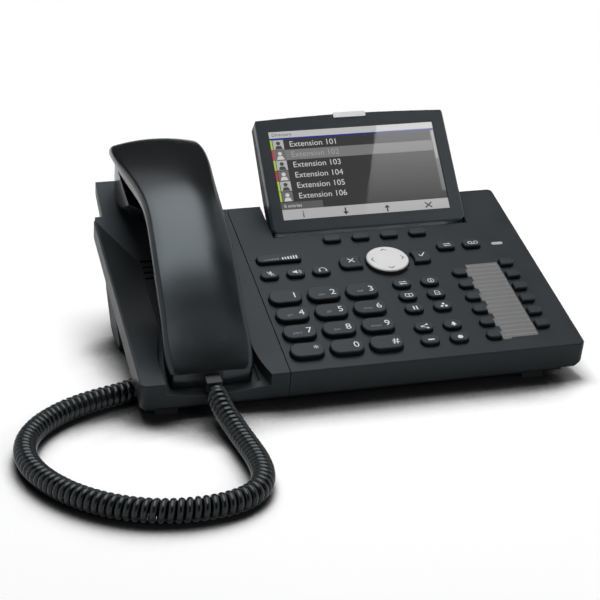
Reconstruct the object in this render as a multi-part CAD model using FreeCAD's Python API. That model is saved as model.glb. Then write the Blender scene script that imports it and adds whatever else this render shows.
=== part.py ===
import FreeCAD, Part
import math
import os

# Desk telephone with a tilting display, a lift-off handset and a curly cord. Sizes are in millimetres.
# Most pieces are drawn in the panel's frame: u to the right, v up the slope and n out of the panel, from
# the front of the first digit key. tilted() stands that frame on the table, with y = 0 at the panel's front
# edge. At the end everything moves so that the origin lies on the table under the middle of the phone, with
# +Z up, +X to the right and the front facing -Y.

V = FreeCAD.Vector
SMALL = 1e-6
# How far a cutting solid reaches past what it cuts
OVER = 1.0

# Body: two covers side by side on one tray
TILT = 16.3
FRONT_HEIGHT = 19.0
LEFT_U = -85.0
RIGHT_U = 142.5
SEAM_U = -11.5
SEAM_GAP = 0.4
FRONT_V = -53.4
REAR_V = 94.0
RIM_FRONT = 14.0
RIM_REAR = 10.5
WALL = 2.0
PLATE = 2.2
EDGE_ROUND = 0.8
CORNER_ROUND = 3.0
TAPER_FROM = 10.5
TAPER_SLOPE = 1.2
HOUSING_GAP = 0.3

# Keys: a cap in a hole of the keypad cover, held by a flange under the plate
KEY_GAP = 0.3
KEY_FLANGE = 0.7
FLANGE_GAP = 0.3
FLANGE_DEPTH = 1.0
KEY_TRAVEL = 1.5
KEY_EDGE = 0.5
MAT_DEPTH = 1.0
BOARD_DEPTH = 1.6

DIGITS = [["key_1", "key_2", "key_3"], ["key_4", "key_5", "key_6"],
          ["key_7", "key_8", "key_9"], ["key_star", "key_0", "key_hash"]]
DIGIT_PITCH_U = 20.4
DIGIT_PITCH_V = 15.1
DIGIT_WIDTH = 17.0
DIGIT_DEPTH = 10.8
DIGIT_ROUND = 4.8
DIGIT_RISE = 2.8

FEATURE_U = 63.6
FEATURE_V = 5.6
FEATURE_PITCH_U = 15.3
FEATURE_PITCH_V = 11.15
FEATURE_BREAK = 4.9
FEATURE_WIDTH = 9.6
FEATURE_DEPTH = 7.0
FEATURE_ROUND = 3.4
SMALL_RISE = 2.2

LINE_LEFT_U = 97.2
LINE_RIGHT_U = 125.5
LINE_LEFT_V = 11.8
LINE_RIGHT_V = 17.4
LINE_PITCH = 11.1
LINE_COUNT = 6
LINE_WIDTH = 7.4
LINE_DEPTH = 6.0
LINE_ROUND = 2.8
LINE_SQUARE = 0.6

CONTEXT_NAMES = ["context_key_1", "context_key_2", "context_key_3", "context_key_4"]
CONTEXT_U = 38.1
CONTEXT_V = 52.4
CONTEXT_PITCH = 16.06
CONTEXT_WIDTH = 9.6
CONTEXT_DEPTH = 5.2
CONTEXT_ROUND = 2.2

AUDIO_NAMES = ["mute_key", "speaker_key", "headset_key"]
AUDIO_U = -3.2
AUDIO_V = 23.1
AUDIO_PITCH = 13.95
AUDIO_WIDTH = 9.6
AUDIO_DEPTH = 6.4
AUDIO_ROUND = 3.1

SIDE_NAMES = ["transfer_key", "message_key"]
SIDE_U = 97.6
SIDE_V = 36.7
SIDE_PITCH = 14.7
SIDE_WIDTH = 9.6
SIDE_DEPTH = 6.2
SIDE_ROUND = 2.0

NAV_U = 62.1
NAV_V = 30.8
NAV_RADIUS = 11.4
NAV_GAP = 0.5
NAV_RISE = 2.6
NAV_FLANGE = 0.9
ROCKING_FLANGE_GAP = 1.1
ROCKING_FLANGE_DEPTH = 0.8
PIVOT_RADIUS = 2.5
PIVOT_GAP = 0.2

CHOICE_WIDTH = 12.1
CHOICE_DEPTH = 9.6
CHOICE_ROUND = 3.2
CHOICE_SQUARE = 0.6
CHOICE_TO_NAV = 3.5
# From the navigation pad's edge to the outer edge of the key on its left and on its right
CANCEL_REACH = 14.6
CONFIRM_REACH = 12.6
CHOICE_V = 26.6

ROCKER_U = 5.1
ROCKER_V = 37.6
ROCKER_WIDTH = 23.6
ROCKER_DEPTH = 6.4
ROCKER_ROUND = 2.0

LAMP_U = 127.1
LAMP_V = 38.4
LAMP_WIDTH = 6.4
LAMP_DEPTH = 2.4
LAMP_RISE = 0.4

# Label strip: a card under a clear window in a pocket of the plate, with a tab towards each line key
STRIP_LEFT = 104.6
STRIP_RIGHT = 118.8
STRIP_FRONT = -42.6
STRIP_REAR = 22.6
STRIP_ROUND = 0.8
TAB_GAP = 0.8
TAB_DEPTH = 6.6
POCKET = 1.6
CARD_DEPTH = 0.4

# Display: drawn flat as (u, s up the face, d out of the face), then leaned back on its hinge
SCREEN_WIDTH = 95.04
SCREEN_LOW = 7.5
SCREEN_HEIGHT = 53.86
BEZEL_LEFT = 6.65
BEZEL_RIGHT = 7.01
BEZEL_TOP = 6.84
DISPLAY_LEFT = 8.2
DISPLAY_WIDTH = BEZEL_LEFT + SCREEN_WIDTH + BEZEL_RIGHT
DISPLAY_HEIGHT = SCREEN_LOW + SCREEN_HEIGHT + BEZEL_TOP
DISPLAY_ARCH = 1.4
DISPLAY_ROUND = 3.5
DISPLAY_V = 63.5
DISPLAY_N = 1.5
DISPLAY_LEAN = 32.8
BEZEL_DEPTH = 5.0
BACK_LOW_DEPTH = 13.0
BACK_TOP_DEPTH = 9.5
BACK_WALL = 2.0
BACK_BEVEL = 2.5
WINDOW_SINK = 0.8
WINDOW_DEPTH = 1.2
WINDOW_LAP = 2.0
LCD_LAP = 3.6
LCD_DEPTH = 3.0
CALL_LAMP_WIDTH = 18.6
CALL_LAMP_DEPTH = 4.0
CALL_LAMP_SINK = 2.6
CALL_LAMP_PROUD = 0.5
HINGE_S = 3.5
HINGE_D = -8.5
HINGE_RADIUS = 1.6
HINGE_PLAY = 0.3
HINGE_IN = 4.5
HINGE_BOSS = 5.0
HINGE_END = 1.0
NOTCH_GAP = 0.8
NOTCH_V = 62.0

# Cradle: a mouthpiece pocket behind a bowed lip, a channel, a flank that dips towards it and a sloping ear rest
TROUGH_DEPTH = 8.5
TROUGH_RIGHT = -25.5
TROUGH_LEFT = -66.0
TROUGH_FRONT = 5.0
POCKET_LEFT = -72.8
POCKET_REAR = -30.0
FLARE_WIDTH = 5.0
FLARE_REAR = -26.0
LIP_LENGTH = 4.4
LIP_SIDE_DEPTH = 6.8
LIP_DEPTH = 9.2
DISH_LEFT = -84.0
DISH_DEPTH = 8.4
REST_V = 74.0
REST_N = -4.9
REST_FRONT = 61.0
REST_END = 118.0
REST_SLOPE = 0.29
TONGUE_LEFT = -80.0
TONGUE_RIGHT = -18.0
TONGUE_DEPTH = 8.0
TONGUE_BEVEL = 1.5
SLOT_U = -61.5
SLOT_V = 45.5
SLOT_PITCH = 5.2
SLOT_COUNT = 4
SLOT_LENGTH = 7.0
SLOT_WIDTH = 1.8
HOOK_V = 86.0
HOOK_WIDTH = 9.0
HOOK_LENGTH = 5.0
HOOK_BOTTOM = -10.2
HOOK_GAP = 0.3

# Handset back: sections across its length as (v, half width, height of the shoulder line, band below that line
# down to the front, crown above it)
HANDSET_U = -49.2
HANDSET_SECTIONS = [(-47.5, 18.4, -1.2, 9.0, 1.6), (-46.6, 19.9, -0.1, 9.0, 1.7), (-44.0, 20.9, 2.0, 9.0, 1.9),
                    (-25.0, 21.0, 15.3, 6.5, 3.0), (-5.0, 20.8, 29.2, 4.8, 3.8), (15.0, 20.2, 39.2, 3.4, 4.2),
                    (35.0, 19.9, 44.4, 3.2, 4.2), (55.0, 21.2, 43.9, 3.2, 4.2), (75.0, 23.4, 41.2, 3.2, 4.2),
                    (95.0, 24.9, 37.2, 3.2, 4.2), (110.0, 24.7, 33.0, 3.2, 4.2), (116.0, 23.2, 30.4, 3.4, 4.0),
                    (118.0, 19.5, 28.4, 3.4, 3.6)]
SHOULDER_INSET = 2.4
SHOULDER_RISE = 1.3
SHOULDER_TURN = 74.0
HANDSET_WALL = 2.2
ROOM_FRONT = -20.0
ROOM_REAR = 110.0
# Handset front: its underside from the mouthpiece and up over the grip, and a flared cup at the ear
FRONT_INSET = 3.0
MOUTH_FRONT = -45.8
MOUTH_BOTTOM = -8.15
MOUTH_REAR = -15.0
GRIP_LINE = [(-7.0, 5.0), (5.0, 17.0), (20.0, 27.0), (38.0, 32.5), (58.0, 33.0), (78.0, 30.5), (98.0, 27.0)]
GRIP_END_N = 22.5
EAR_V = 106.0
EAR_REAR = 115.0
EAR_RADIUS = 21.5
EAR_FLARE = 12.0
EAR_HEIGHT = 24.0
EAR_GAP = 0.35
RECEIVER_V = 100.5
RECEIVER_RADIUS = 13.0
RECEIVER_DEPTH = 9.0
SOUND_HOLE_RADIUS = 1.1
RECEIVER_HOLE_RING = 6.5
RECEIVER_HOLE_COUNT = 8
MICROPHONE_HOLE_RING = 2.2
MICROPHONE_HOLE_COUNT = 3
MICROPHONE_V = -30.0
MICROPHONE_RADIUS = 4.0
MICROPHONE_DEPTH = 4.0

# Sockets and plugs: width and height of each body, then width, height and depth of the hole in it
SOCKET_DEPTH = 15.5
SOCKET_PLAY = 0.15
NETWORK_SIZE = (16.2, 13.2)
NETWORK_HOLE = (11.9, 8.2, 12.0)
HEADSET_SIZE = (11.4, 11.4)
HEADSET_HOLE = (7.9, 6.1, 9.0)
USB_SIZE = (15.0, 8.4)
USB_HOLE = (12.6, 5.4, 10.0)
POWER_SIZE = (10.0, 11.4)
POWER_HOLE_RADIUS = 3.2
POWER_HOLE_DEPTH = 10.0
LAN_U = 18.0
PC_U = 40.0
POWER_U = 62.0
USB_U = 84.0
HEADSET_U = 106.0
HANDSET_SOCKET_V = 12.4
HANDSET_JACK_DEPTH = 13.0
HANDSET_JACK_SIZE = (10.6, 7.6)
HANDSET_JACK_HOLE = (7.9, 5.6, 9.0)
HANDSET_JACK_N = -3.9
PLUG_PLAY = 0.15
PLUG_OUT = 6.5

# Tray: a thin plate under the cradle and the arms, a toe along the front, a deeper part under the keys,
# deepest for the boards
TRAY_PLATE = 2.5
TRAY_WALL = 2.2
TRAY_SPLIT_U = -20.0
TRAY_RIGHT = 132.4
TRAY_FRONT_BOTTOM = -17.0
TRAY_TOE = 9.5
TRAY_DEEP_BOTTOM = -31.0
TRAY_DEEP_FROM = -6.0
TRAY_DEEP_SLOPE = 10.0
TRAY_DEEP_REAR = 50.0
SPEAKER_U = -60.0
SPEAKER_V = 44.0
SPEAKER_RADIUS = 14.0
SPEAKER_DEPTH = 10.0
SPEAKER_ROOM = 2.0
BOARD_LEFT = -8.0
BOARD_RIGHT = 131.0
BOARD_FRONT = -43.5
BOARD_REAR = 58.0
MAIN_BOARD_LEFT = -15.0
MAIN_BOARD_RIGHT = 128.0
MAIN_BOARD_FRONT = 6.6
MAIN_BOARD_REAR = 45.0
POST_RADIUS = 2.5
POST_INSET = 3.5
SCREW_RADIUS = 1.2
SCREW_HEAD_RADIUS = 2.4
SCREW_HEAD_DEPTH = 1.2
SCREW_GRIP = 4.5
SCREW_REAR_V = 80.0
SCREW_LEFT_V = -38.0
BOSS_RADIUS = 2.4
BOSS_ROOM = 1.0

# Stand and feet, in the upright frame as (y, z) from the panel's front edge and the table
FOOT_PAD = 1.5
STAND_OUTLINE = [(98.0, FOOT_PAD), (117.0, FOOT_PAD), (124.5, 4.0), (137.0, 22.0), (142.0, 56.0), (122.0, 56.0),
                 (118.5, 28.0), (96.0, 5.0)]
STAND_LEFT = -80.0
STAND_LEG_WIDTH = 56.0
STAND_RIGHT = 132.4
STAND_RIGHT_LEG = 12.0
STAND_WALL = 2.5
STAND_BAR_FRONT = 98.0
STAND_BAR_REAR = 117.0
STAND_BAR_TOP = 9.0
REAR_PAD_FRONT = 99.5
REAR_PAD_REAR = 115.5
REAR_PAD_WIDTH = 20.0
REAR_PAD_EDGE = 2.0
FRONT_FOOT_WIDTH = 11.0
FRONT_FOOT_FRONT = 8.5
FRONT_FOOT_REAR = 15.5
FRONT_FOOT_LEFT_U = -77.0
FRONT_FOOT_RIGHT_U = 112.0

# Curly cord: the points of its route as (u, y, z) in the upright frame, from the handset to the tray
CORD_DIAMETER = 11.0
CORD_ARC = 0.45
CORD_LOOP = [(-46.4, -28.0, 6.9), (-44.6, -46.0, 5.6), (-43.4, -65.0, 5.6), (-44.8, -83.0, 5.6),
             (-51.5, -97.5, 5.6), (-64.5, -105.5, 5.6), (-82.0, -107.5, 5.6), (-100.0, -104.0, 5.6),
             (-118.5, -92.5, 5.6), (-133.5, -74.0, 5.6), (-143.0, -51.5, 5.6), (-145.0, -28.5, 5.6),
             (-138.5, -8.0, 5.6), (-124.0, 10.0, 5.6), (-105.0, 22.0, 5.6), (-86.0, 28.5, 5.6),
             (-72.0, 39.0, 6.8), (-62.5, 51.0, 9.8)]
CORD_EXIT_RUN = 13.0
CORD_ENTRY_RUN = 13.0
CORD_APPROACH = (-11.6, -5.9, -2.6)


def box(u0, u1, v0, v1, n0, n1):
    return Part.makeBox(u1 - u0, v1 - v0, n1 - n0, V(u0, v0, n0))


def cylinder(u, v, n0, n1, radius):
    return Part.makeCylinder(radius, n1 - n0, V(u, v, n0))


def across(points, u0, u1):
    """Solid with a side outline of (v, n) points, from u0 to u1."""
    corners = [V(u0, v, n) for v, n in points]
    return Part.Face(Part.makePolygon(corners + corners[:1])).extrude(V(u1 - u0, 0, 0))


def along(points, v0, v1):
    """Solid with an outline of (u, n) points as seen from the front, from v0 to v1."""
    corners = [V(u, v0, n) for u, n in points]
    return Part.Face(Part.makePolygon(corners + corners[:1])).extrude(V(0, v1 - v0, 0))


def raised(face, n0, n1):
    """Solid on a flat outline, from height n0 to n1."""
    return face.translated(V(0, 0, n0)).extrude(V(0, 0, n1 - n0))


def plan(u0, u1, v0, v1, radii, grow=0.0):
    """Flat rectangle with a radius, or none, at each corner: front left, front right, rear right, rear left."""
    u0, v0, u1, v1 = u0 - grow, v0 - grow, u1 + grow, v1 + grow
    slant = 1 - math.sqrt(0.5)
    corners = [(u0, v0, 1, 1), (u1, v0, -1, 1), (u1, v1, -1, -1), (u0, v1, 1, -1)]
    arcs = []
    for (u, v, to_u, to_v), radius in zip(corners, radii):
        r = radius + grow
        on_side = V(u, v + to_v * r, 0)
        on_edge = V(u + to_u * r, v, 0)
        middle = V(u + to_u * r * slant, v + to_v * r * slant, 0)
        ends = (on_side, on_edge) if to_u == to_v else (on_edge, on_side)
        arcs.append((ends[0], middle, ends[1]))
    edges = []
    for arc, following in zip(arcs, arcs[1:] + arcs[:1]):
        if arc[0].distanceToPoint(arc[2]) > SMALL:
            edges.append(Part.Arc(*arc).toShape())
        if arc[2].distanceToPoint(following[0]) > SMALL:
            edges.append(Part.LineSegment(arc[2], following[0]).toShape())
    return Part.Face(Part.Wire(edges))


def disc(u, v, radius):
    return Part.Face(Part.Wire(Part.makeCircle(radius, V(u, v, 0))))


def spline(points):
    curve = Part.BSplineCurve()
    curve.interpolate(points)
    return curve.toShape()


def level_edges(solid, n):
    """Edges of a solid that lie in the plane at height n."""
    return [e for e in solid.Edges if abs(e.BoundBox.ZMin - n) < SMALL and abs(e.BoundBox.ZMax - n) < SMALL]


def upright_edges(solid, u):
    """Straight edges along n at one u."""
    return [e for e in solid.Edges if abs(e.BoundBox.XMin - u) < SMALL and abs(e.BoundBox.XMax - u) < SMALL
            and e.BoundBox.YLength < SMALL]


def tilted(shape):
    """Moves a shape from the panel's frame to the upright frame."""
    placed = shape.translated(V(0, -FRONT_V, 0))
    placed.rotate(V(0, 0, 0), V(1, 0, 0), TILT)
    return placed.translated(V(0, 0, FRONT_HEIGHT))


def tilted_point(u, v, n):
    point = FreeCAD.Rotation(V(1, 0, 0), TILT).multVec(V(u, v - FRONT_V, n))
    return point + V(0, 0, FRONT_HEIGHT)


def leaned(shape):
    """Moves a shape from the display's flat frame to the panel's frame."""
    placed = shape.copy()
    placed.rotate(V(0, 0, 0), V(1, 0, 0), DISPLAY_LEAN)
    return placed.translated(V(0, DISPLAY_V, DISPLAY_N))


def hinge_place():
    """The hinge's v and n in the panel's frame."""
    lean = math.radians(DISPLAY_LEAN)
    v = DISPLAY_V + HINGE_S * math.cos(lean) - HINGE_D * math.sin(lean)
    n = DISPLAY_N + HINGE_S * math.sin(lean) + HINGE_D * math.cos(lean)
    return v, n


# Keys

class Key:
    """A key cap: its outline from above as a function of how far that is grown, and how far it stands up."""

    def __init__(self, outline, rise, gap=KEY_GAP, flange=KEY_FLANGE,
                 flange_gap=FLANGE_GAP, flange_depth=FLANGE_DEPTH):
        self.outline = outline
        self.rise = rise
        self.gap = gap
        self.flange = flange
        self.flange_top = -PLATE - flange_gap
        self.flange_bottom = self.flange_top - flange_depth

    def hole(self):
        return raised(self.outline(self.gap), -PLATE - OVER, OVER)

    def cap(self):
        body = raised(self.outline(0), self.flange_bottom, self.rise - KEY_EDGE)
        flange = raised(self.outline(self.flange), self.flange_bottom, self.flange_top)
        lower = self.outline(0).OuterWire.translated(V(0, 0, self.rise - KEY_EDGE))
        upper = self.outline(-KEY_EDGE).OuterWire.translated(V(0, 0, self.rise))
        bevel = Part.makeLoft([lower, upper], True, True)
        return body.fuse([flange, bevel]).removeSplitter()


def pad_key(u, v, width, depth, radii, rise):
    """A key centred on u with its front edge at v."""
    def outline(grow):
        return plan(u - width / 2, u + width / 2, v, v + depth, radii, grow)
    return Key(outline, rise)


def choice_key(side, reach):
    """A key left (-1) or right (1) of the navigation pad, hollowed to follow it."""
    u = NAV_U + side * (NAV_RADIUS + reach - CHOICE_WIDTH / 2)
    left, right = (CHOICE_ROUND, CHOICE_SQUARE) if side < 0 else (CHOICE_SQUARE, CHOICE_ROUND)

    def outline(grow):
        block = plan(u - CHOICE_WIDTH / 2, u + CHOICE_WIDTH / 2, CHOICE_V, CHOICE_V + CHOICE_DEPTH,
                     [left, right, right, left], grow)
        return block.cut(disc(NAV_U, NAV_V, NAV_RADIUS + CHOICE_TO_NAV - grow)).Faces[0]
    return Key(outline, SMALL_RISE)


def nav_key():
    def outline(grow):
        return disc(NAV_U, NAV_V, NAV_RADIUS + grow)
    return Key(outline, NAV_RISE, NAV_GAP, NAV_FLANGE, ROCKING_FLANGE_GAP, ROCKING_FLANGE_DEPTH)


def rocker_key():
    def outline(grow):
        return plan(ROCKER_U - ROCKER_WIDTH / 2, ROCKER_U + ROCKER_WIDTH / 2, ROCKER_V, ROCKER_V + ROCKER_DEPTH,
                    [ROCKER_ROUND] * 4, grow)
    return Key(outline, SMALL_RISE, NAV_GAP, NAV_FLANGE, ROCKING_FLANGE_GAP, ROCKING_FLANGE_DEPTH)


def row_of_keys(names, u, v, pitch, width, depth, radius):
    keys = {}
    for place, name in enumerate(names):
        keys[name] = [pad_key(u + place * pitch, v, width, depth, [radius] * 4, SMALL_RISE)]
    return keys


def digit_keys():
    keys = {}
    for row, names in enumerate(DIGITS):
        for column, name in enumerate(names):
            keys[name] = [pad_key(column * DIGIT_PITCH_U, -row * DIGIT_PITCH_V, DIGIT_WIDTH, DIGIT_DEPTH,
                                  [DIGIT_ROUND] * 4, DIGIT_RISE)]
    return keys


def feature_rows(first, count, shift):
    """Feature keys in two columns, for some rows of the block."""
    keys = []
    for row in range(first, first + count):
        for column in range(2):
            keys.append(pad_key(FEATURE_U + column * FEATURE_PITCH_U, FEATURE_V - row * FEATURE_PITCH_V - shift,
                                FEATURE_WIDTH, FEATURE_DEPTH, [FEATURE_ROUND] * 4, SMALL_RISE))
    return keys


def line_column(u, v, radii):
    return [pad_key(u, v - row * LINE_PITCH, LINE_WIDTH, LINE_DEPTH, radii, SMALL_RISE)
            for row in range(LINE_COUNT)]


def all_keys():
    """Every key, as lists of caps under the name of their node."""
    keys = digit_keys()
    keys.update(row_of_keys(CONTEXT_NAMES, CONTEXT_U, CONTEXT_V, CONTEXT_PITCH, CONTEXT_WIDTH, CONTEXT_DEPTH,
                            CONTEXT_ROUND))
    keys.update(row_of_keys(AUDIO_NAMES, AUDIO_U, AUDIO_V, AUDIO_PITCH, AUDIO_WIDTH, AUDIO_DEPTH, AUDIO_ROUND))
    keys.update(row_of_keys(SIDE_NAMES, SIDE_U, SIDE_V, SIDE_PITCH, SIDE_WIDTH, SIDE_DEPTH, SIDE_ROUND))
    keys["cancel_key"] = [choice_key(-1, CANCEL_REACH)]
    keys["confirm_key"] = [choice_key(1, CONFIRM_REACH)]
    keys["navigation_pad"] = [nav_key()]
    keys["volume_rocker"] = [rocker_key()]
    keys["feature_keys_upper"] = feature_rows(0, 3, 0)
    keys["feature_keys_lower"] = feature_rows(3, 2, FEATURE_BREAK)
    keys["line_keys_left"] = line_column(LINE_LEFT_U, LINE_LEFT_V,
                                         [LINE_ROUND, LINE_SQUARE, LINE_SQUARE, LINE_ROUND])
    keys["line_keys_right"] = line_column(LINE_RIGHT_U, LINE_RIGHT_V,
                                          [LINE_SQUARE, LINE_ROUND, LINE_ROUND, LINE_SQUARE])
    return keys


# Covers

def slab(u0, u1, inset, top):
    """The covers' side outline between u0 and u1, drawn in by inset and open below when it is."""
    return across([(FRONT_V + inset, top), (REAR_V - inset, top), (REAR_V - inset, -RIM_REAR - inset),
                   (FRONT_V + inset, -RIM_FRONT - inset)], u0, u1)


def right_taper(inset):
    """What the right wall's lean cuts away, for the outside or the inside of the wall."""
    drop = 2 * RIM_FRONT
    edge = RIGHT_U - inset
    return along([(edge, -TAPER_FROM), (edge + drop, -TAPER_FROM), (edge + drop, -TAPER_FROM - drop),
                  (edge - TAPER_SLOPE * drop, -TAPER_FROM - drop)], FRONT_V - OVER, REAR_V + OVER)


def label_outline(grow):
    """The label strip with its tabs, as a flat outline."""
    strip = plan(STRIP_LEFT, STRIP_RIGHT, STRIP_FRONT, STRIP_REAR, [STRIP_ROUND] * 4, grow)
    tabs = []
    for row in range(LINE_COUNT):
        left_v = LINE_LEFT_V - row * LINE_PITCH
        right_v = LINE_RIGHT_V - row * LINE_PITCH
        left_end = LINE_LEFT_U + LINE_WIDTH / 2 + TAB_GAP
        right_end = LINE_RIGHT_U - LINE_WIDTH / 2 - TAB_GAP
        rounds = [STRIP_ROUND] * 4
        tabs.append(plan(left_end, STRIP_LEFT + TAB_GAP + STRIP_ROUND, left_v, left_v + TAB_DEPTH, rounds, grow))
        if right_v + TAB_DEPTH < STRIP_REAR:
            tabs.append(plan(STRIP_RIGHT - TAB_GAP - STRIP_ROUND, right_end, right_v, right_v + TAB_DEPTH,
                             rounds, grow))
    return strip.fuse(tabs).removeSplitter().Faces[0]


def lamp_outline():
    return plan(LAMP_U - LAMP_WIDTH / 2, LAMP_U + LAMP_WIDTH / 2, LAMP_V, LAMP_V + LAMP_DEPTH,
                [LAMP_DEPTH / 2] * 4)


def notch():
    return box(DISPLAY_LEFT - NOTCH_GAP, DISPLAY_LEFT + DISPLAY_WIDTH + NOTCH_GAP, NOTCH_V, REAR_V + OVER,
               -2 * RIM_FRONT, OVER)


def pin_bar(radius, inward):
    """A bar on the hinge line at each side of the notch, from inside the boss to inward of its wall."""
    v, n = hinge_place()
    left = DISPLAY_LEFT - NOTCH_GAP
    right = DISPLAY_LEFT + DISPLAY_WIDTH + NOTCH_GAP
    length = HINGE_BOSS - HINGE_END + inward
    return [Part.makeCylinder(radius, length, V(left - HINGE_BOSS + HINGE_END, v, n), V(1, 0, 0)),
            Part.makeCylinder(radius, length, V(right - inward, v, n), V(1, 0, 0))]


def screw_places():
    """Screws as (u, v, the tray's inner floor, the tray's underside): two between keys, four near the corners."""
    front = FRONT_V + WALL + TRAY_WALL + 2 * HOUSING_GAP + BOSS_RADIUS
    left = LEFT_U + WALL + BOSS_ROOM + BOSS_RADIUS
    left_of_display = (SEAM_U + SEAM_GAP / 2 + WALL + DISPLAY_LEFT - NOTCH_GAP - HINGE_BOSS) / 2
    right_of_display = DISPLAY_LEFT + DISPLAY_WIDTH + NOTCH_GAP + HINGE_BOSS + BOSS_ROOM + BOSS_RADIUS
    deep = (TRAY_FRONT_BOTTOM + TRAY_WALL, TRAY_FRONT_BOTTOM)
    shallow = (-RIM_REAR, -RIM_REAR - TRAY_PLATE)
    return [(DIGIT_PITCH_U / 2, front, *deep), ((STRIP_LEFT + STRIP_RIGHT) / 2, front, *deep),
            (left_of_display, SCREW_REAR_V, *shallow), (right_of_display, SCREW_REAR_V, *shallow),
            (left, SCREW_LEFT_V, *shallow), (left, SCREW_REAR_V, *shallow)]


def screw_bosses(places, top):
    """Posts for the screws under a cover, down to the tray."""
    return [cylinder(u, v, floor, top, BOSS_RADIUS) for u, v, floor, underside in places]


def screw_holes(places):
    return [cylinder(u, v, floor - OVER, floor + SCREW_GRIP, SCREW_RADIUS) for u, v, floor, underside in places]


def seam_room(u0, u1):
    """Room under a cover's seam wall, so that the wall stands on the tray."""
    return box(u0, u1, FRONT_V + WALL, REAR_V - WALL, -2 * RIM_FRONT, -RIM_REAR)


def keypad_cover(keys):
    left = SEAM_U + SEAM_GAP / 2
    outer = slab(left, RIGHT_U, 0, 0)
    outer = outer.makeFillet(CORNER_ROUND, upright_edges(outer, RIGHT_U))
    top_edges = [e for e in level_edges(outer, 0) if e.BoundBox.XMax > left + SMALL]
    outer = outer.makeFillet(EDGE_ROUND, top_edges).cut(right_taper(0))
    cavity = slab(left + WALL, RIGHT_U - WALL, WALL, -PLATE).cut(right_taper(WALL))
    shell = outer.cut([cavity, seam_room(left - OVER, left + WALL + OVER)])
    hinge_v, hinge_n = hinge_place()
    display_right = DISPLAY_LEFT + DISPLAY_WIDTH + NOTCH_GAP
    walls = [box(DISPLAY_LEFT - NOTCH_GAP - WALL, display_right + WALL, NOTCH_V - WALL, REAR_V - WALL / 2,
                 -RIM_REAR, -PLATE)]
    for boss_u in (DISPLAY_LEFT - NOTCH_GAP - HINGE_BOSS, display_right):
        walls.append(box(boss_u, boss_u + HINGE_BOSS, hinge_v - HINGE_BOSS, hinge_v + HINGE_BOSS,
                         -RIM_REAR, -PLATE))
    places = [place for place in screw_places() if place[0] > SEAM_U]
    shell = shell.fuse(walls + screw_bosses(places, -PLATE))
    cuts = [notch(), raised(label_outline(0), -POCKET, OVER), raised(lamp_outline(), -PLATE - OVER, OVER)]
    cuts += pin_bar(HINGE_RADIUS, OVER) + screw_holes(places)
    for caps in keys.values():
        cuts += [key.hole() for key in caps]
    return shell.cut(cuts).removeSplitter()


def dish(drop):
    """What the left flank's dip takes away, from nothing at the front to its depth along the channel."""
    wires = []
    for v, depth in ((FRONT_V - OVER, SMALL), (TROUGH_FRONT, DISH_DEPTH), (REAR_V + OVER, DISH_DEPTH)):
        low, right = -depth - drop, TROUGH_LEFT + OVER
        corners = [V(DISH_LEFT, v, -drop), V(TROUGH_LEFT, v, low), V(right, v, low), V(right, v, DISH_DEPTH),
                   V(DISH_LEFT, v, DISH_DEPTH)]
        wires.append(Part.makePolygon(corners + corners[:1]))
    return Part.makeLoft(wires, True, True)


def rest_height(v):
    """Height of the ear rest's sloping surface."""
    return REST_N + (v - REST_V) * REST_SLOPE


def lip():
    """The opening over the pocket's front lip, which bows down in the middle."""
    front = FRONT_V - OVER
    low_left, low_right = V(POCKET_LEFT, front, -LIP_SIDE_DEPTH), V(TROUGH_RIGHT, front, -LIP_SIDE_DEPTH)
    top_left, top_right = V(POCKET_LEFT, front, OVER), V(TROUGH_RIGHT, front, OVER)
    bow = Part.Arc(low_left, V((POCKET_LEFT + TROUGH_RIGHT) / 2, front, -LIP_DEPTH), low_right)
    sides = [Part.LineSegment(low_right, top_right), Part.LineSegment(top_right, top_left),
             Part.LineSegment(top_left, low_left)]
    face = Part.Face(Part.Wire([edge.toShape() for edge in [bow] + sides]))
    return face.extrude(V(0, LIP_LENGTH + OVER, 0))


def flare():
    """The pocket's widening on the right, where its wall curves away from the handset towards the front."""
    front = FRONT_V - OVER
    length = FLARE_REAR - front
    radius = (FLARE_WIDTH ** 2 + length ** 2) / (2 * FLARE_WIDTH)
    bend = radius - math.sqrt(radius ** 2 - length ** 2 / 4)
    rear = V(TROUGH_RIGHT, FLARE_REAR, 0)
    end = V(TROUGH_RIGHT + FLARE_WIDTH, front, 0)
    inner = [V(TROUGH_RIGHT - OVER, front, 0), V(TROUGH_RIGHT - OVER, FLARE_REAR, 0)]
    wall = Part.Arc(rear, V(TROUGH_RIGHT + bend, FLARE_REAR - length / 2, 0), end)
    sides = [Part.LineSegment(a, b) for a, b in ((end, inner[0]), (inner[0], inner[1]), (inner[1], rear))]
    face = Part.Face(Part.Wire([edge.toShape() for edge in [wall] + sides]))
    return raised(face, -LIP_SIDE_DEPTH, OVER)


def trough():
    """The handset's pocket and channel with the flank's dip, as solids to cut from the cradle."""
    front, rear = FRONT_V + LIP_LENGTH, REAR_V + OVER
    corners = [V(TROUGH_RIGHT, rear, 0), V(TROUGH_LEFT, rear, 0), V(TROUGH_LEFT, TROUGH_FRONT, 0),
               V(POCKET_LEFT, POCKET_REAR, 0), V(POCKET_LEFT, front, 0), V(TROUGH_RIGHT, front, 0)]
    channel = raised(Part.Face(Part.makePolygon(corners + corners[:1])), -TROUGH_DEPTH, OVER)
    return [channel, flare(), lip(), dish(0)]


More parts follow.
